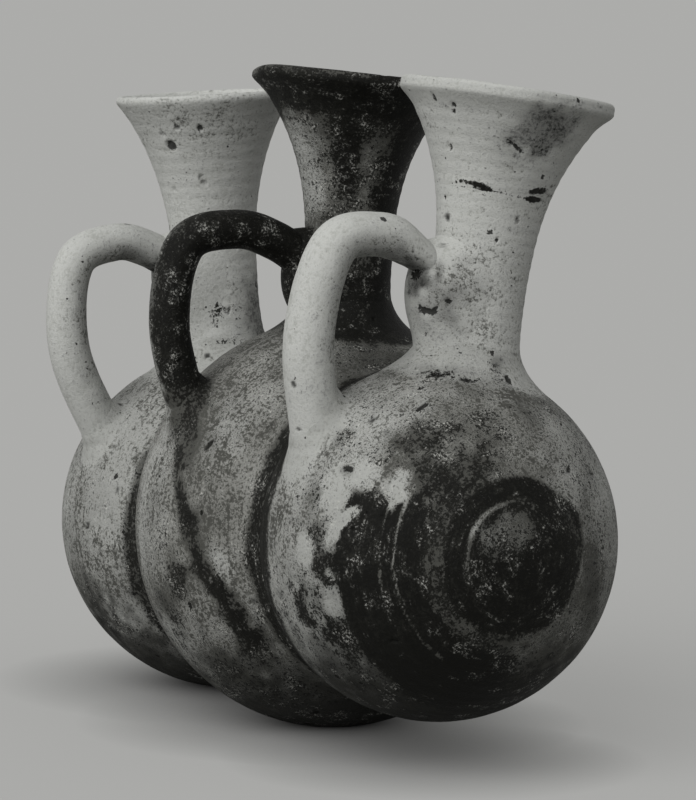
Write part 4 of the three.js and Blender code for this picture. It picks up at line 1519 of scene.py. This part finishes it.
@dataclass
class Juglet:
    """One juglet of the row: globe, neck, collar, handle, and the clay pressed round the handle's ends."""

    place: Place
    workshop: Workshop
    neck_slot: Slot
    neck_weather: Weathering
    globe_wall: float = 4.6
    neck_wall: float = 3.4
    neck_flare_power: float = 2.65
    lip_radius: float = 1.2
    lip_bead_fade: tuple[float, float] = (0.89, 0.965)  # where the bead starts and is full, throat to rim
    rim_skew_side: float = math.radians(63.0)  # directions round the neck, from the row's front end
    rim_tip_side: float = math.radians(-27.0)
    rim_wear_side: float = math.radians(243.0)
    rim_wear_half: float = math.radians(24.0)
    rim_wear_power: float = 5.0  # how close to the rim the wear stays
    collar_height: float = 8.0
    collar_foot_spread: float = 8.6
    collar_waist: float = 0.93  # how closely the smear hugs the corner, as a share of the neck's foot
    handle_peak_share: float = 0.58  # where the arch peaks, on the way from root to reach
    handle_bend: float = 0.82  # how full the bend from arch to limb is
    handle_rise_bulge: float = 0.72  # how soon it climbs from its root
    handle_sunk: float = 5.0  # how far the foot runs on inside the globe
    handle_foot_spread: float = 0.9  # how much thicker the foot is pressed
    handle_end_share: float = 0.12  # over how much of the strap
    handle_root_share: float = 0.18  # how much of the strap is pinched at its root
    smear_margin: float = 5.5  # how far the clay is smeared out beyond the handle's ends
    smear_reach: float = 15.0  # how far it is followed up the handle
    root_blend: float = 10.0  # how round its corner with the handle's root is
    foot_blend: float = 6.0  # and with the handle's foot
    smear_inset: float = 1.4  # how far it stays below the handle's surface away from that corner
    smear_fade: tuple[float, float] = (3.0, 9.0)  # lifts off the body between which it sinks to that depth
    smear_paint: tuple[float, float] = (0.5, 4.0)  # gaps to the handle over which its paint gives way
    wedge_margin: float = 1.6  # the wedge of clay under the handle's root, beyond the handle's half width
    wedge_depth: float = 6.3
    wedge_blend: float = 8.5  # how softly it runs out into the neck
    wedge_side: float = 10.5  # how far it is smeared out round the neck
    wedge_span_margin: float = 5.8  # how much further it reaches up and down than the handle
    wedge_drop: float = 1.6  # how far its middle lies below the root's
    foot_slant: float = 1.6  # how much longer the foot's cut through the globe is than the strap is thick

    def __post_init__(self) -> None:
        """Looks up the juglet's form and its place in the row."""
        self.form = FORMS[self.place]
        self.matrix = ROW.juglet_matrix(self.place)
        self.low_end, self.high_end = ROW.ends(self.place)
        self.foot = self.form.throat + self.form.foot_flare
        self.seat = self.seat_height(self.foot)
        self.throat_at = self.form.radius + self.form.throat_height
        self.rim_at = self.form.radius + self.form.neck_height - self.lip_radius

    def seat_height(self, ring: float) -> float:
        """Height of the globe's surface under a ring about the neck's axis."""
        narrow = min(self.form.radius, self.form.half_length)
        return self.form.radius * math.sqrt(1.0 - (ring / narrow) ** 2)

    def opened(self, height: Array) -> Array:
        """How far the funnel has opened at a height: 0 at the throat and 1 at the rim."""
        return np.maximum((height - self.throat_at) / (self.rim_at - self.throat_at), 0.0)

    def neck_outer(self, height: Array) -> Array:
        """Outer radius of the neck.

        Args:
            height: Heights above the globe's centre.

        Returns:
            The radius at each height, which grows both up to the rim and down to the foot.
        """
        spread = np.maximum((self.throat_at - height) / (self.throat_at - self.seat), 0.0)
        funnel = (self.form.rim - self.form.throat) * self.opened(height) ** self.neck_flare_power
        return self.form.throat + funnel + self.form.foot_flare * spread**self.neck_flare_power

    def neck_bore(self, height: Array) -> Array:
        """Inner radius of the neck, whose wall thins towards the lip."""
        wall = lerp(self.neck_wall, 2 * self.lip_radius, np.minimum(self.opened(height), 1.0))
        return self.neck_outer(height) - wall

    def globe_reach(self, aim: Array, sink: float) -> Array:
        """Distance from the globe's centre to its surface, flattened at its neighbours.

        Args:
            aim: Unit directions, n by 3.
            sink: Depth below the outer surface, in millimetres.

        Returns:
            One distance for each direction.
        """
        radius, half = self.form.radius - sink, self.form.half_length - sink
        x, y, z = aim.T
        reach = 1.0 / np.sqrt((x / half) ** 2 + (y**2 + z**2) / radius**2)
        wall = np.where(x > 0, self.high_end - sink, -self.low_end - sink)
        return np.minimum(reach, wall / np.maximum(np.abs(x), NEARLY_NOUGHT))

    def globe_height(self, x: Array, y: Array) -> Array:
        """Height of the globe's surface over a point beside the neck's axis."""
        form = self.form
        return form.radius * np.sqrt(1.0 - (x / form.half_length) ** 2 - (y / form.radius) ** 2)

    def skin(self, local: Array, faces: Faces, lay: Array) -> Skin:
        """A skin from points in the juglet's own frame."""
        return Skin(moved(local, self.matrix), faces, lay)

    def body(self, points: Array) -> Levels:
        """Paint of the juglet's body at points in the object's frame."""
        return body_paint(self.place, points)

    def strap(self, points: Array) -> Levels:
        """Paint of the juglet's handle at points in the object's frame."""
        local = moved(points, np.linalg.inv(self.matrix))
        return HANDLE_COATS[self.place].levels(handle_surface(local, self.handle_path()))

    def round_neck(self, local: Array) -> Array:
        """Lay of clay turned about the neck's axis."""
        bearing = np.arctan2(local[:, 1], local[:, 0])
        return np.stack([local[:, 2], *(LAY_ROUND_NECK * side(bearing) for side in (np.cos, np.sin))], axis=1)

    def round_row(self, local: Array) -> Array:
        """Lay of clay turned about the row's axis.

        Args:
            local: Points in the juglet's own frame.

        Returns:
            The lay at each point.
        """
        x, y, z = local.T
        along = np.arctan2(np.hypot(y, z), x) * self.form.radius
        turn = np.arctan2(z, y)
        return np.stack([along, *(LAY_ROUND_ROW * side(turn) for side in (np.cos, np.sin))], axis=1)

    def build(self) -> None:
        """Builds all of the juglet's pieces."""
        self.build_globe()
        self.build_neck()
        self.build_collar()
        self.build_handle()
        self.build_pad()
        self.build_wad()

    def build_globe(self) -> None:
        """Builds the hollow globe, open under the neck."""
        mouth = self.neck_bore(np.array([self.seat]))[0]
        outer_edge = math.asin(mouth / self.form.radius)
        inner_edge = math.asin(mouth / (self.form.radius - self.globe_wall))
        outside = np.linspace(math.pi, outer_edge, GLOBE_ROWS + 1)[1:]
        inside = np.linspace(inner_edge, math.pi, CAVITY_ROWS + 1)[:-1]
        bearing = around(GLOBE_COLUMNS)
        rings = []
        for angle, sink in [(a, 0.0) for a in outside] + [(a, self.globe_wall) for a in inside]:
            level = np.full(GLOBE_COLUMNS, math.cos(angle))
            aim = np.stack([np.cos(bearing) * math.sin(angle), np.sin(bearing) * math.sin(angle), level], 1)
            rings.append(aim * self.globe_reach(aim, sink)[:, None])
        below = [np.array([[0.0, 0.0, sink - self.form.radius]]) for sink in (0.0, self.globe_wall)]
        local = np.vstack([*rings, *below])
        skin = self.skin(local, capped_faces(len(rings), GLOBE_COLUMNS), self.round_row(local))
        name = f"{self.place.value}_globe"
        self.workshop.piece(name, skin, Slot.BANDED, GLOBE_WEATHER, self.body)

    def build_neck(self) -> None:
        """Builds the funnel neck with its rounded, uneven lip and its bore."""
        base = self.seat - self.globe_wall / 2
        outside = np.linspace(base, self.rim_at, NECK_ROWS)
        lip = np.linspace(0.0, math.pi, LIP_ROWS)[1:-1]
        inside = np.linspace(self.rim_at, base, BORE_ROWS)
        lip_radius = self.form.rim - self.lip_radius + self.lip_radius * np.cos(lip)
        bead = self.form.lip_bead * smooth(self.opened(outside), *self.lip_bead_fade)
        outer = np.minimum(self.neck_outer(outside) + bead, self.form.rim)
        radius = np.concatenate([outer, lip_radius, self.neck_bore(inside)])[:, None]
        height = np.concatenate([outside, self.rim_at + self.lip_radius * np.sin(lip), inside])[:, None]
        bearing = around(NECK_COLUMNS)[None, :]
        spread = radius / self.form.rim * self.opened(height)
        z = height + (self.form.rim_lift - self.form.rim_skew * np.cos(bearing - self.rim_skew_side)) * spread
        z = z + self.form.rim_tip * spread * np.cos(bearing - self.rim_tip_side)
        worn = np.exp(-((((bearing - self.rim_wear_side) / self.rim_wear_half)) ** 2))
        z = z - self.form.rim_wear * worn * self.opened(height) ** self.rim_wear_power
        local = np.stack([radius * np.cos(bearing), radius * np.sin(bearing), z], axis=-1).reshape(-1, 3)
        skin = self.skin(local, ring_faces(len(radius), NECK_COLUMNS, looped=True), self.round_neck(local))
        name = f"{self.place.value}_neck"
        self.workshop.piece(name, skin, self.neck_slot, self.neck_weather, self.body)

    def build_collar(self) -> None:
        """Builds the clay smeared from the neck's foot out over the globe."""
        bearing = around(NECK_COLUMNS)
        ring = self.foot + self.collar_foot_spread
        aside, ahead = np.cos(bearing), np.sin(bearing)
        foot_at = self.globe_height(ring * aside, ring * ahead)
        inner = self.globe_height((ring - SLOPE_STEP) * aside, (ring - SLOPE_STEP) * ahead)
        top_at = self.seat + self.collar_height
        top = self.neck_outer(np.array([top_at]))[0]
        corner_at = foot_at + (inner - foot_at) / SLOPE_STEP * (ring - self.foot)
        rows = []
        for share in np.linspace(0.0, 1.0, COLLAR_ROWS):
            weights = ((1 - share) ** 2, 2 * share * (1 - share), share**2)
            radius = weights[0] * top + weights[1] * self.foot * self.collar_waist + weights[2] * ring
            height = weights[0] * top_at + weights[1] * corner_at + weights[2] * foot_at
            sunk = FEATHER * abs(1.0 - 2.0 * share) ** FEATHER_POWER
            rows.append((radius - sunk * (1 - share), height - sunk * share))
        rows.append((ring - BURIED, foot_at - BURIED))
        rows.append((self.foot - BURIED, corner_at - BURIED))
        rows.append((top - BURIED, np.full(NECK_COLUMNS, top_at - BURIED)))
        rings = [np.stack([radius * aside, radius * ahead, height], axis=1) for radius, height in rows]
        local = np.vstack(rings)
        skin = self.skin(local, ring_faces(len(rows), NECK_COLUMNS, looped=True), self.round_neck(local))
        name = f"{self.place.value}_neck_collar"
        self.workshop.piece(name, skin, Slot.LUTING, LUTING_WEATHER, self.body)

    def handle_path(self) -> Array:
        """Centre line of the handle.

        Returns:
            Points in the juglet's own frame, from the root on the neck to inside the globe.
        """
        form, handle = self.form, self.form.handle
        root_at = form.radius + handle.root_rise
        peak_at = form.radius + handle.peak_rise
        root_out = self.neck_outer(np.array([root_at]))[0] - self.neck_wall / 2
        peak_out = lerp(root_out, handle.reach, self.handle_peak_share)
        angle = math.radians(handle.foot_degrees)
        foot_out = (form.radius - handle.limb_half) * math.cos(angle)
        foot_at = (form.radius - handle.limb_half) * math.sin(angle)
        limb_at = (peak_at + foot_at) / 2
        route = [
            (root_out, root_at),
            ((root_out + peak_out) / 2, lerp(root_at, peak_at, self.handle_rise_bulge)),
            (peak_out, peak_at),
            (lerp(peak_out, handle.reach, self.handle_bend), lerp(limb_at, peak_at, self.handle_bend)),
            (handle.reach, limb_at),
            (foot_out, foot_at),
        ]
        path = catmull_rom(np.array([(0.0, -out, height) for out, height in route]), PATH_SAMPLES)
        onward = (path[-1] - path[-2]) / np.linalg.norm(path[-1] - path[-2])
        return np.vstack([path, path[-1] + onward * self.handle_sunk])

    def build_handle(self) -> None:
        """Builds the pulled handle along its path."""
        path = self.handle_path()
        curve = bpy.data.curves.new("handle_path", "CURVE")
        curve.dimensions = "3D"
        spline = curve.splines.new("POLY")
        spline.points.add(len(path) - 1)
        spline.points.foreach_set("co", np.hstack([path, np.ones((len(path), 1))]).ravel())
        obj = bpy.data.objects.new("handle_path", curve)
        bpy.context.scene.collection.objects.link(obj)
        values = {
            "Material": self.workshop.materials[self.neck_slot],
            "Half Width": self.form.handle.half_width,
            "Arch Half": self.form.handle.arch_half,
            "Limb Half": self.form.handle.limb_half,
            "Foot Spread": self.handle_foot_spread,
            "End Share": self.handle_end_share,
            "Root Taper": self.form.handle.root_taper,
            "Root Share": self.handle_root_share,
            "Steps": HANDLE_STEPS,
            "Sides": HANDLE_SIDES,
        }
        mesh = plain_mesh(obj, self.workshop.handle_tree, values)
        local = np.empty(len(mesh.vertices) * 3, dtype=np.float32)
        mesh.vertices.foreach_get("co", local)
        local = local.reshape(-1, 3).astype(float)
        faces = [tuple(face.vertices) for face in mesh.polygons]
        bpy.data.objects.remove(obj)
        bpy.data.curves.remove(curve)
        bpy.data.meshes.remove(mesh)
        skin = self.skin(local, faces, local * np.array([1.0, LAY_ALONG_HANDLE, LAY_ALONG_HANDLE]))
        name = f"{self.place.value}_handle"
        self.workshop.piece(name, skin, self.neck_slot, HANDLE_WEATHER, self.strap)

    def handle_gap(self, local: Array, thick: float) -> Array:
        """Distance from points to the handle's surface, near one of its ends.

        Args:
            local: Points in the juglet's own frame.
            thick: Half the strap's thickness at that end.

        Returns:
            One distance for each point, negative inside the handle.
        """
        path = self.handle_path()[::PATH_STRIDE]
        aside, upward = (local[:, None, axis] - path[None, :, axis] for axis in (1, 2))
        span = np.hypot(aside, upward).min(axis=1)
        wide = self.form.handle.half_width
        return (np.hypot(local[:, 0] / wide, span / thick) - 1.0) * min(wide, thick)

    def corner(self, local: Array, lift: Array, thick: float, blend: float) -> Array:
        """Gap to the body and the handle where clay fills the corner between them.

        Args:
            local: Points in the juglet's own frame.
            lift: How far each point is off the body.
            thick: Half the strap's thickness at that end.
            blend: How round the corner is.

        Returns:
            One distance for each point, negative inside the clay.
        """
        strap = self.handle_gap(local, thick) + self.smear_inset * smooth(lift, *self.smear_fade)
        return eased_union(lift, strap, blend)

    def smear(self, points: Array) -> Levels:
        """Paint of clay smeared from the handle out over the body.

        Args:
            points: Points in the object's frame, in millimetres.

        Returns:
            Each channel's level at each point.
        """
        local = moved(points, np.linalg.inv(self.matrix))
        away = smooth(self.handle_gap(local, self.form.handle.limb_half), *self.smear_paint)
        return mixed(self.strap(points), self.body(points), away)

    def patch(
        self,
        seated: Callable[[Array, Array, Array], Array],
        clay: Callable[[Array, Array], Array],
    ) -> tuple[Array, Faces]:
        """Clay pressed into the corners where a handle meets a body, and smeared out at its edge.

        Args:
            seated: Gives points from two shares of the patch's half sizes and a lift off the body.
            clay: Gives how far outside the clay points with such lifts are.

        Returns:
            The points in the juglet's own frame, and the faces.
        """
        bearing = around(PATCH_COLUMNS)
        trials = np.repeat(np.linspace(0.0, self.smear_reach, PATCH_LIFTS), PATCH_COLUMNS)

        def lifted(share: float) -> Array:
            """Finds a ring of points on the clay's surface, by marching off the body.

            Args:
                share: How far out the ring is, as a share of the patch's half sizes.

            Returns:
                The ring's points in the juglet's own frame.
            """
            aside, upward = share * np.cos(bearing), share * np.sin(bearing)
            tried = seated(np.tile(aside, PATCH_LIFTS), np.tile(upward, PATCH_LIFTS), trials)
            gap = clay(tried, trials).reshape(PATCH_LIFTS, PATCH_COLUMNS)
            buried = np.minimum.accumulate(gap <= 0.0, axis=0).sum(axis=0)
            after = np.clip(buried, 1, PATCH_LIFTS - 1)
            inner, outer = gap[after - 1, np.arange(PATCH_COLUMNS)], gap[after, np.arange(PATCH_COLUMNS)]
            part = np.clip(-inner / np.maximum(outer - inner, NEARLY_NOUGHT), 0.0, 1.0)
            lift = (after - 1 + part) * self.smear_reach / (PATCH_LIFTS - 1)
            edge = share**FEATHER_POWER
            return seated(aside, upward, lift * (1.0 - share**EASE_POWER) - FEATHER * edge)

        shares = np.linspace(0.0, 1.0, PATCH_ROWS + 1)[1:]
        rings = [lifted(share) for share in shares]
        deep = np.full(PATCH_COLUMNS, -BURIED)
        for share in shares[::-PATCH_BACK_STRIDE]:
            rings.append(seated(share * np.cos(bearing), share * np.sin(bearing), deep))
        middle = np.zeros(1)
        poles = [lifted(0.0)[:1], seated(middle, middle, middle - BURIED)]
        return np.vstack([*rings, *poles]), capped_faces(len(rings), PATCH_COLUMNS)

    def build_pad(self) -> None:
        """Builds the clay that fills the corners round the handle's root, down to the neck's foot."""
        handle = self.form.handle
        root_at = self.form.radius + handle.root_rise
        half_width = handle.half_width + self.wedge_side
        above, below = handle.arch_half + self.smear_margin, root_at - self.seat
        wedge_at = root_at - self.wedge_drop
        wedge = np.array([0.0, -self.neck_outer(np.array([wedge_at]))[0], wedge_at])
        wide, tall = handle.half_width + self.wedge_margin, handle.arch_half + self.wedge_span_margin
        half = np.array([wide, self.wedge_depth, tall])

        def seated(aside: Array, upward: Array, lift: Array) -> Array:
            """Points off the neck's skin.

            Args:
                aside: Shares of the patch's half width.
                upward: Shares of its half height.
                lift: How far off the skin each point is.

            Returns:
                The points in the juglet's own frame.
            """
            height = root_at + upward * np.where(upward > 0, above, below)
            radius = self.neck_outer(height)
            bearing = aside * half_width / radius
            radius = radius + lift
            return np.stack([radius * np.sin(bearing), -radius * np.cos(bearing), height], axis=1)

        def clay(local: Array, lift: Array) -> Array:
            """Gap to the neck, the handle and the wedge, the last two each eased into the neck.

            Args:
                local: Points in the juglet's own frame.
                lift: How far off the neck each point is.

            Returns:
                One distance for each point, negative inside the clay.
            """
            under = (np.linalg.norm((local - wedge) / half, axis=1) - 1.0) * self.wedge_depth
            strap = self.corner(local, lift, handle.arch_half - handle.root_taper / 2, self.root_blend)
            return np.minimum(strap, eased_union(lift, under, self.wedge_blend))

        local, faces = self.patch(seated, clay)
        skin = self.skin(local, faces, self.round_neck(local))
        name = f"{self.place.value}_handle_pad"
        self.workshop.piece(name, skin, self.neck_slot, LUTING_WEATHER, self.smear)

    def build_wad(self) -> None:
        """Builds the clay pressed into the corner between the handle's foot and the globe."""
        handle = self.form.handle
        path = self.handle_path()
        late = path[len(path) // 2 :]
        foot = late[np.argmax(np.linalg.norm(late, axis=1) < self.form.radius)]
        up = np.array([0.0, foot[2], -foot[1]]) / np.linalg.norm(foot)
        half_width = handle.half_width + self.smear_margin
        half_span = handle.limb_half * self.foot_slant + self.smear_margin

        def seated(aside: Array, upward: Array, lift: Array) -> Array:
            """Points off the globe's skin.

            Args:
                aside: Shares of the patch's half width.
                upward: Shares of its half height.
                lift: How far off the skin each point is.

            Returns:
                The points in the juglet's own frame.
            """
            aim = foot + np.outer(aside * half_width, [1.0, 0.0, 0.0]) + np.outer(upward * half_span, up)
            aim = aim / np.linalg.norm(aim, axis=1)[:, None]
            return aim * (self.globe_reach(aim, 0.0) + lift)[:, None]

        def clay(local: Array, lift: Array) -> Array:
            """Gap to the globe and the handle, eased into each other."""
            return self.corner(local, lift, handle.limb_half, self.foot_blend)

        local, faces = self.patch(seated, clay)
        skin = self.skin(local, faces, self.round_row(local))
        name = f"{self.place.value}_handle_wad"
        self.workshop.piece(name, skin, Slot.LUTING, LUTING_WEATHER, self.smear)


@dataclass
class WaistFillet:
    """The ring of clay in the groove between two globes."""

    name: str
    lower: Place
    upper: Place
    seam: float
    workshop: Workshop
    half_width: float = 5.2
    sag: float = 1.0  # how far the ring is hollowed between its edges
    buried: float = 2 * BURIED  # depth of its hidden side
    change_over: float = 1.0  # half the width over which one body's paint gives way to the other's

    def paint(self, points: Array) -> Levels:
        """Paint of the two bodies, changing over at the seam.

        Args:
            points: Points in the object's frame, in millimetres.

        Returns:
            Each channel's level at each point.
        """
        offset = moved(points, np.linalg.inv(ROW.matrix()))[:, 0] - self.seam
        share = smooth(offset, -self.change_over, self.change_over)
        return mixed(body_paint(self.lower, points), body_paint(self.upper, points), share)

    def build(self) -> None:
        """Builds the ring, flush with both globes at its edges."""
        turn = around(WAIST_COLUMNS)
        low, high = self.seam - self.half_width, self.seam + self.half_width
        low_radius = ROW.globe_radius(self.lower, low)
        high_radius = ROW.globe_radius(self.upper, high)
        seam_radius = ROW.globe_radius(self.lower, self.seam)
        rows = []
        for share in np.linspace(0.0, 1.0, WAIST_ROWS):
            sunk = self.sag * math.sin(math.pi * share) + FEATHER * abs(1.0 - 2.0 * share) ** FEATHER_POWER
            rows.append((lerp(low, high, share), lerp(low_radius, high_radius, share) - sunk))
        hidden = ((high, high_radius), (self.seam, seam_radius), (low, low_radius))
        rows += [(station, radius - self.buried) for station, radius in hidden]
        rings = []
        for station, radius in rows:
            share = (station - low) / (high - low)
            centre = lerp(ROW.centre[self.lower], ROW.centre[self.upper], share)
            aside, upward = centre[1] - radius * np.cos(turn), centre[2] + radius * np.sin(turn)
            rings.append(np.stack([np.full(WAIST_COLUMNS, station), aside, upward], axis=1))
        local = np.vstack(rings)
        wide = np.tile(turn, len(rings))
        lay = np.stack([local[:, 0], LAY_ROUND_ROW * np.cos(wide), LAY_ROUND_ROW * np.sin(wide)], axis=1)
        skin = Skin(moved(local, ROW.matrix()), ring_faces(len(rings), WAIST_COLUMNS, looped=True), lay)
        self.workshop.piece(self.name, skin, Slot.LUTING, LUTING_WEATHER, self.paint)


@dataclass(frozen=True)
class Studio:
    """The floor, the soft light and the camera at the photograph's viewing angle."""

    image_width: int = 696
    image_height: int = 800
    focal_pixels: float = 5700.0
    camera_turn: float = 27.0  # degrees from the row towards the handles' side
    camera_pitch: float = 5.0  # degrees above the row's own level
    aim_pixel: tuple[float, float] = (439.0, 541.0)  # where the front globe's centre appears
    camera_distance: float = 1304.7  # millimetres to the front globe's centre
    sensor: float = 36.0
    floor_half: float = 9.0  # metres
    floor_drop: float = 0.05  # millimetres below the vessel, so that no two faces share a plane
    floor_colour: str = "#B2B2B0"
    floor_bounce: str = "#7A7A78"  # what the floor throws back at the vessel, as from a shaded table
    # The glow is painted light seen only by the camera: it lifts the floor's wide shadow, and ambient
    # occlusion dims it into a painted contact shadow close under the vessel.
    floor_glow: str = "#ACACAA"  # lifts the floor's wide shadow, not the one close under the vessel
    glow_share: float = 0.60
    contact_reach: float = 30.0  # how far from the vessel the close shadow reaches
    sun_side: tuple[float, float, float] = (-0.66, 0.84, 0.64)  # towards it: camera's right, back, and up
    sun_strength: float = 2.4
    sun_angle: float = 64.0  # degrees, so that shadows are soft
    sky: str = "#FFFFFF"
    sky_strength: float = 0.50

    def axes(self) -> tuple[Array, Array, Array]:
        """Gives the camera's directions.

        Returns:
            Right, up and back in the object's frame.
        """
        swing = math.radians(90.0 - self.camera_turn)
        pitch = math.radians(self.camera_pitch)
        level = math.cos(pitch)
        back = np.array([math.sin(swing) * level, -math.cos(swing) * level, math.sin(pitch)])
        right = np.array([math.cos(swing), math.sin(swing), 0.0])
        turned = ROW.matrix()[:3, :3]
        return turned @ right, turned @ np.cross(back, right), turned @ back

    def build_camera(self) -> None:
        """Sets the camera where the photograph was taken from."""
        right, up, back = self.axes()
        aim = moved(ROW.centre[Place.FRONT][None, :], ROW.matrix())[0]
        across = (self.aim_pixel[0] - self.image_width / 2) / self.focal_pixels * self.camera_distance
        down = (self.aim_pixel[1] - self.image_height / 2) / self.focal_pixels * self.camera_distance
        place = aim + back * self.camera_distance - right * across + up * down
        data = bpy.data.cameras.new("photo_camera")
        data.sensor_width = self.sensor
        data.lens = self.sensor * self.focal_pixels / max(self.image_width, self.image_height)
        camera = bpy.data.objects.new("photo_camera", data)
        pose = np.eye(4)
        pose[:3, 0], pose[:3, 1], pose[:3, 2], pose[:3, 3] = right, up, back, place * MM
        camera.matrix_world = Matrix(pose.tolist())
        bpy.context.scene.collection.objects.link(camera)
        bpy.context.scene.camera = camera

    def build_floor(self) -> None:
        """Lays the plain pale floor of matt paper, whose glow for the camera carries a painted contact
        shadow.
        """
        half, level = self.floor_half, -self.floor_drop * MM
        corners = [(-half, -half, level), (half, -half, level), (half, half, level), (-half, half, level)]
        mesh = bpy.data.meshes.new("floor")
        mesh.from_pydata(corners, [], [(0, 1, 2, 3)])
        floor = bpy.data.objects.new("floor", mesh)
        bpy.context.scene.collection.objects.link(floor)
        made = bpy.data.materials.new("matt_paper")
        made.use_nodes = True
        tree = made.node_tree
        tree.nodes.clear()
        seen = node(tree, "ShaderNodeLightPath", output="Is Camera Ray")
        rays = seen.node.outputs
        for ray in ("Is Glossy Ray", "Is Transmission Ray"):
            seen = node(tree, "ShaderNodeMath", {0: seen, 1: rays[ray]}, operation="MAXIMUM")
        thrown = node(tree, "ShaderNodeBsdfDiffuse", {"Color": linear(self.floor_bounce)})
        shown = node(tree, "ShaderNodeBsdfDiffuse", {"Color": linear(self.floor_colour)})
        # painted contact shadow: ambient occlusion dims the floor's glow near the vessel
        clear = node(tree, "ShaderNodeAmbientOcclusion", {"Distance": self.contact_reach * MM}, "AO")
        glow = node(tree, "ShaderNodeEmission", {"Color": linear(self.floor_glow), "Strength": clear})
        lifted = node(tree, "ShaderNodeMixShader", {0: self.glow_share, 1: shown, 2: glow})
        either = node(tree, "ShaderNodeMixShader", {0: seen, 1: thrown, 2: lifted})
        node(tree, "ShaderNodeOutputMaterial", {"Surface": either})
        mesh.materials.append(made)
        floor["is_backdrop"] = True

    def build_light(self) -> None:
        """Lights the vessel softly from the upper left, with a plain sky all round."""
        right, _, back = self.axes()
        aside, near, high = self.sun_side
        towards = Vector(aside * right + near * back + high * np.array([0.0, 0.0, 1.0]))
        data = bpy.data.lights.new("soft_key", "SUN")
        data.energy = self.sun_strength
        data.angle = math.radians(self.sun_angle)
        key = bpy.data.objects.new("soft_key", data)
        key.rotation_euler = towards.to_track_quat("Z", "Y").to_euler()
        bpy.context.scene.collection.objects.link(key)
        world = bpy.data.worlds.new("plain_sky")
        world.use_nodes = True
        sky = world.node_tree.nodes["Background"]
        sky.inputs["Color"].default_value = linear(self.sky)
        sky.inputs["Strength"].default_value = self.sky_strength
        bpy.context.scene.world = world

    def build(self) -> None:
        """Builds the whole studio."""
        self.build_camera()
        self.build_floor()
        self.build_light()
        bpy.context.scene.view_settings.view_transform = "Standard"


def main() -> None:
    """Builds the vessel piece by piece, then the studio."""
    logging.basicConfig(level=logging.INFO, format="%(name)s %(message)s")
    workshop = Workshop()
    Juglet(Place.FRONT, workshop, Slot.PALE, NECK_WEATHER).build()
    Juglet(Place.MIDDLE, workshop, Slot.DARK, NECK_WEATHER).build()
    Juglet(Place.BACK, workshop, Slot.PALE, PITTED_NECK_WEATHER).build()
    WaistFillet("front_waist_fillet", Place.MIDDLE, Place.FRONT, ROW.front_seam, workshop).build()
    WaistFillet("back_waist_fillet", Place.BACK, Place.MIDDLE, ROW.back_seam, workshop).build()
    Studio().build()
    boxes = {"cad": CAD_BOX, "visual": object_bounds()}
    {name: [list(corner) for corner in box] for name, box in boxes.items()}


if __name__ == "__main__":
    main()
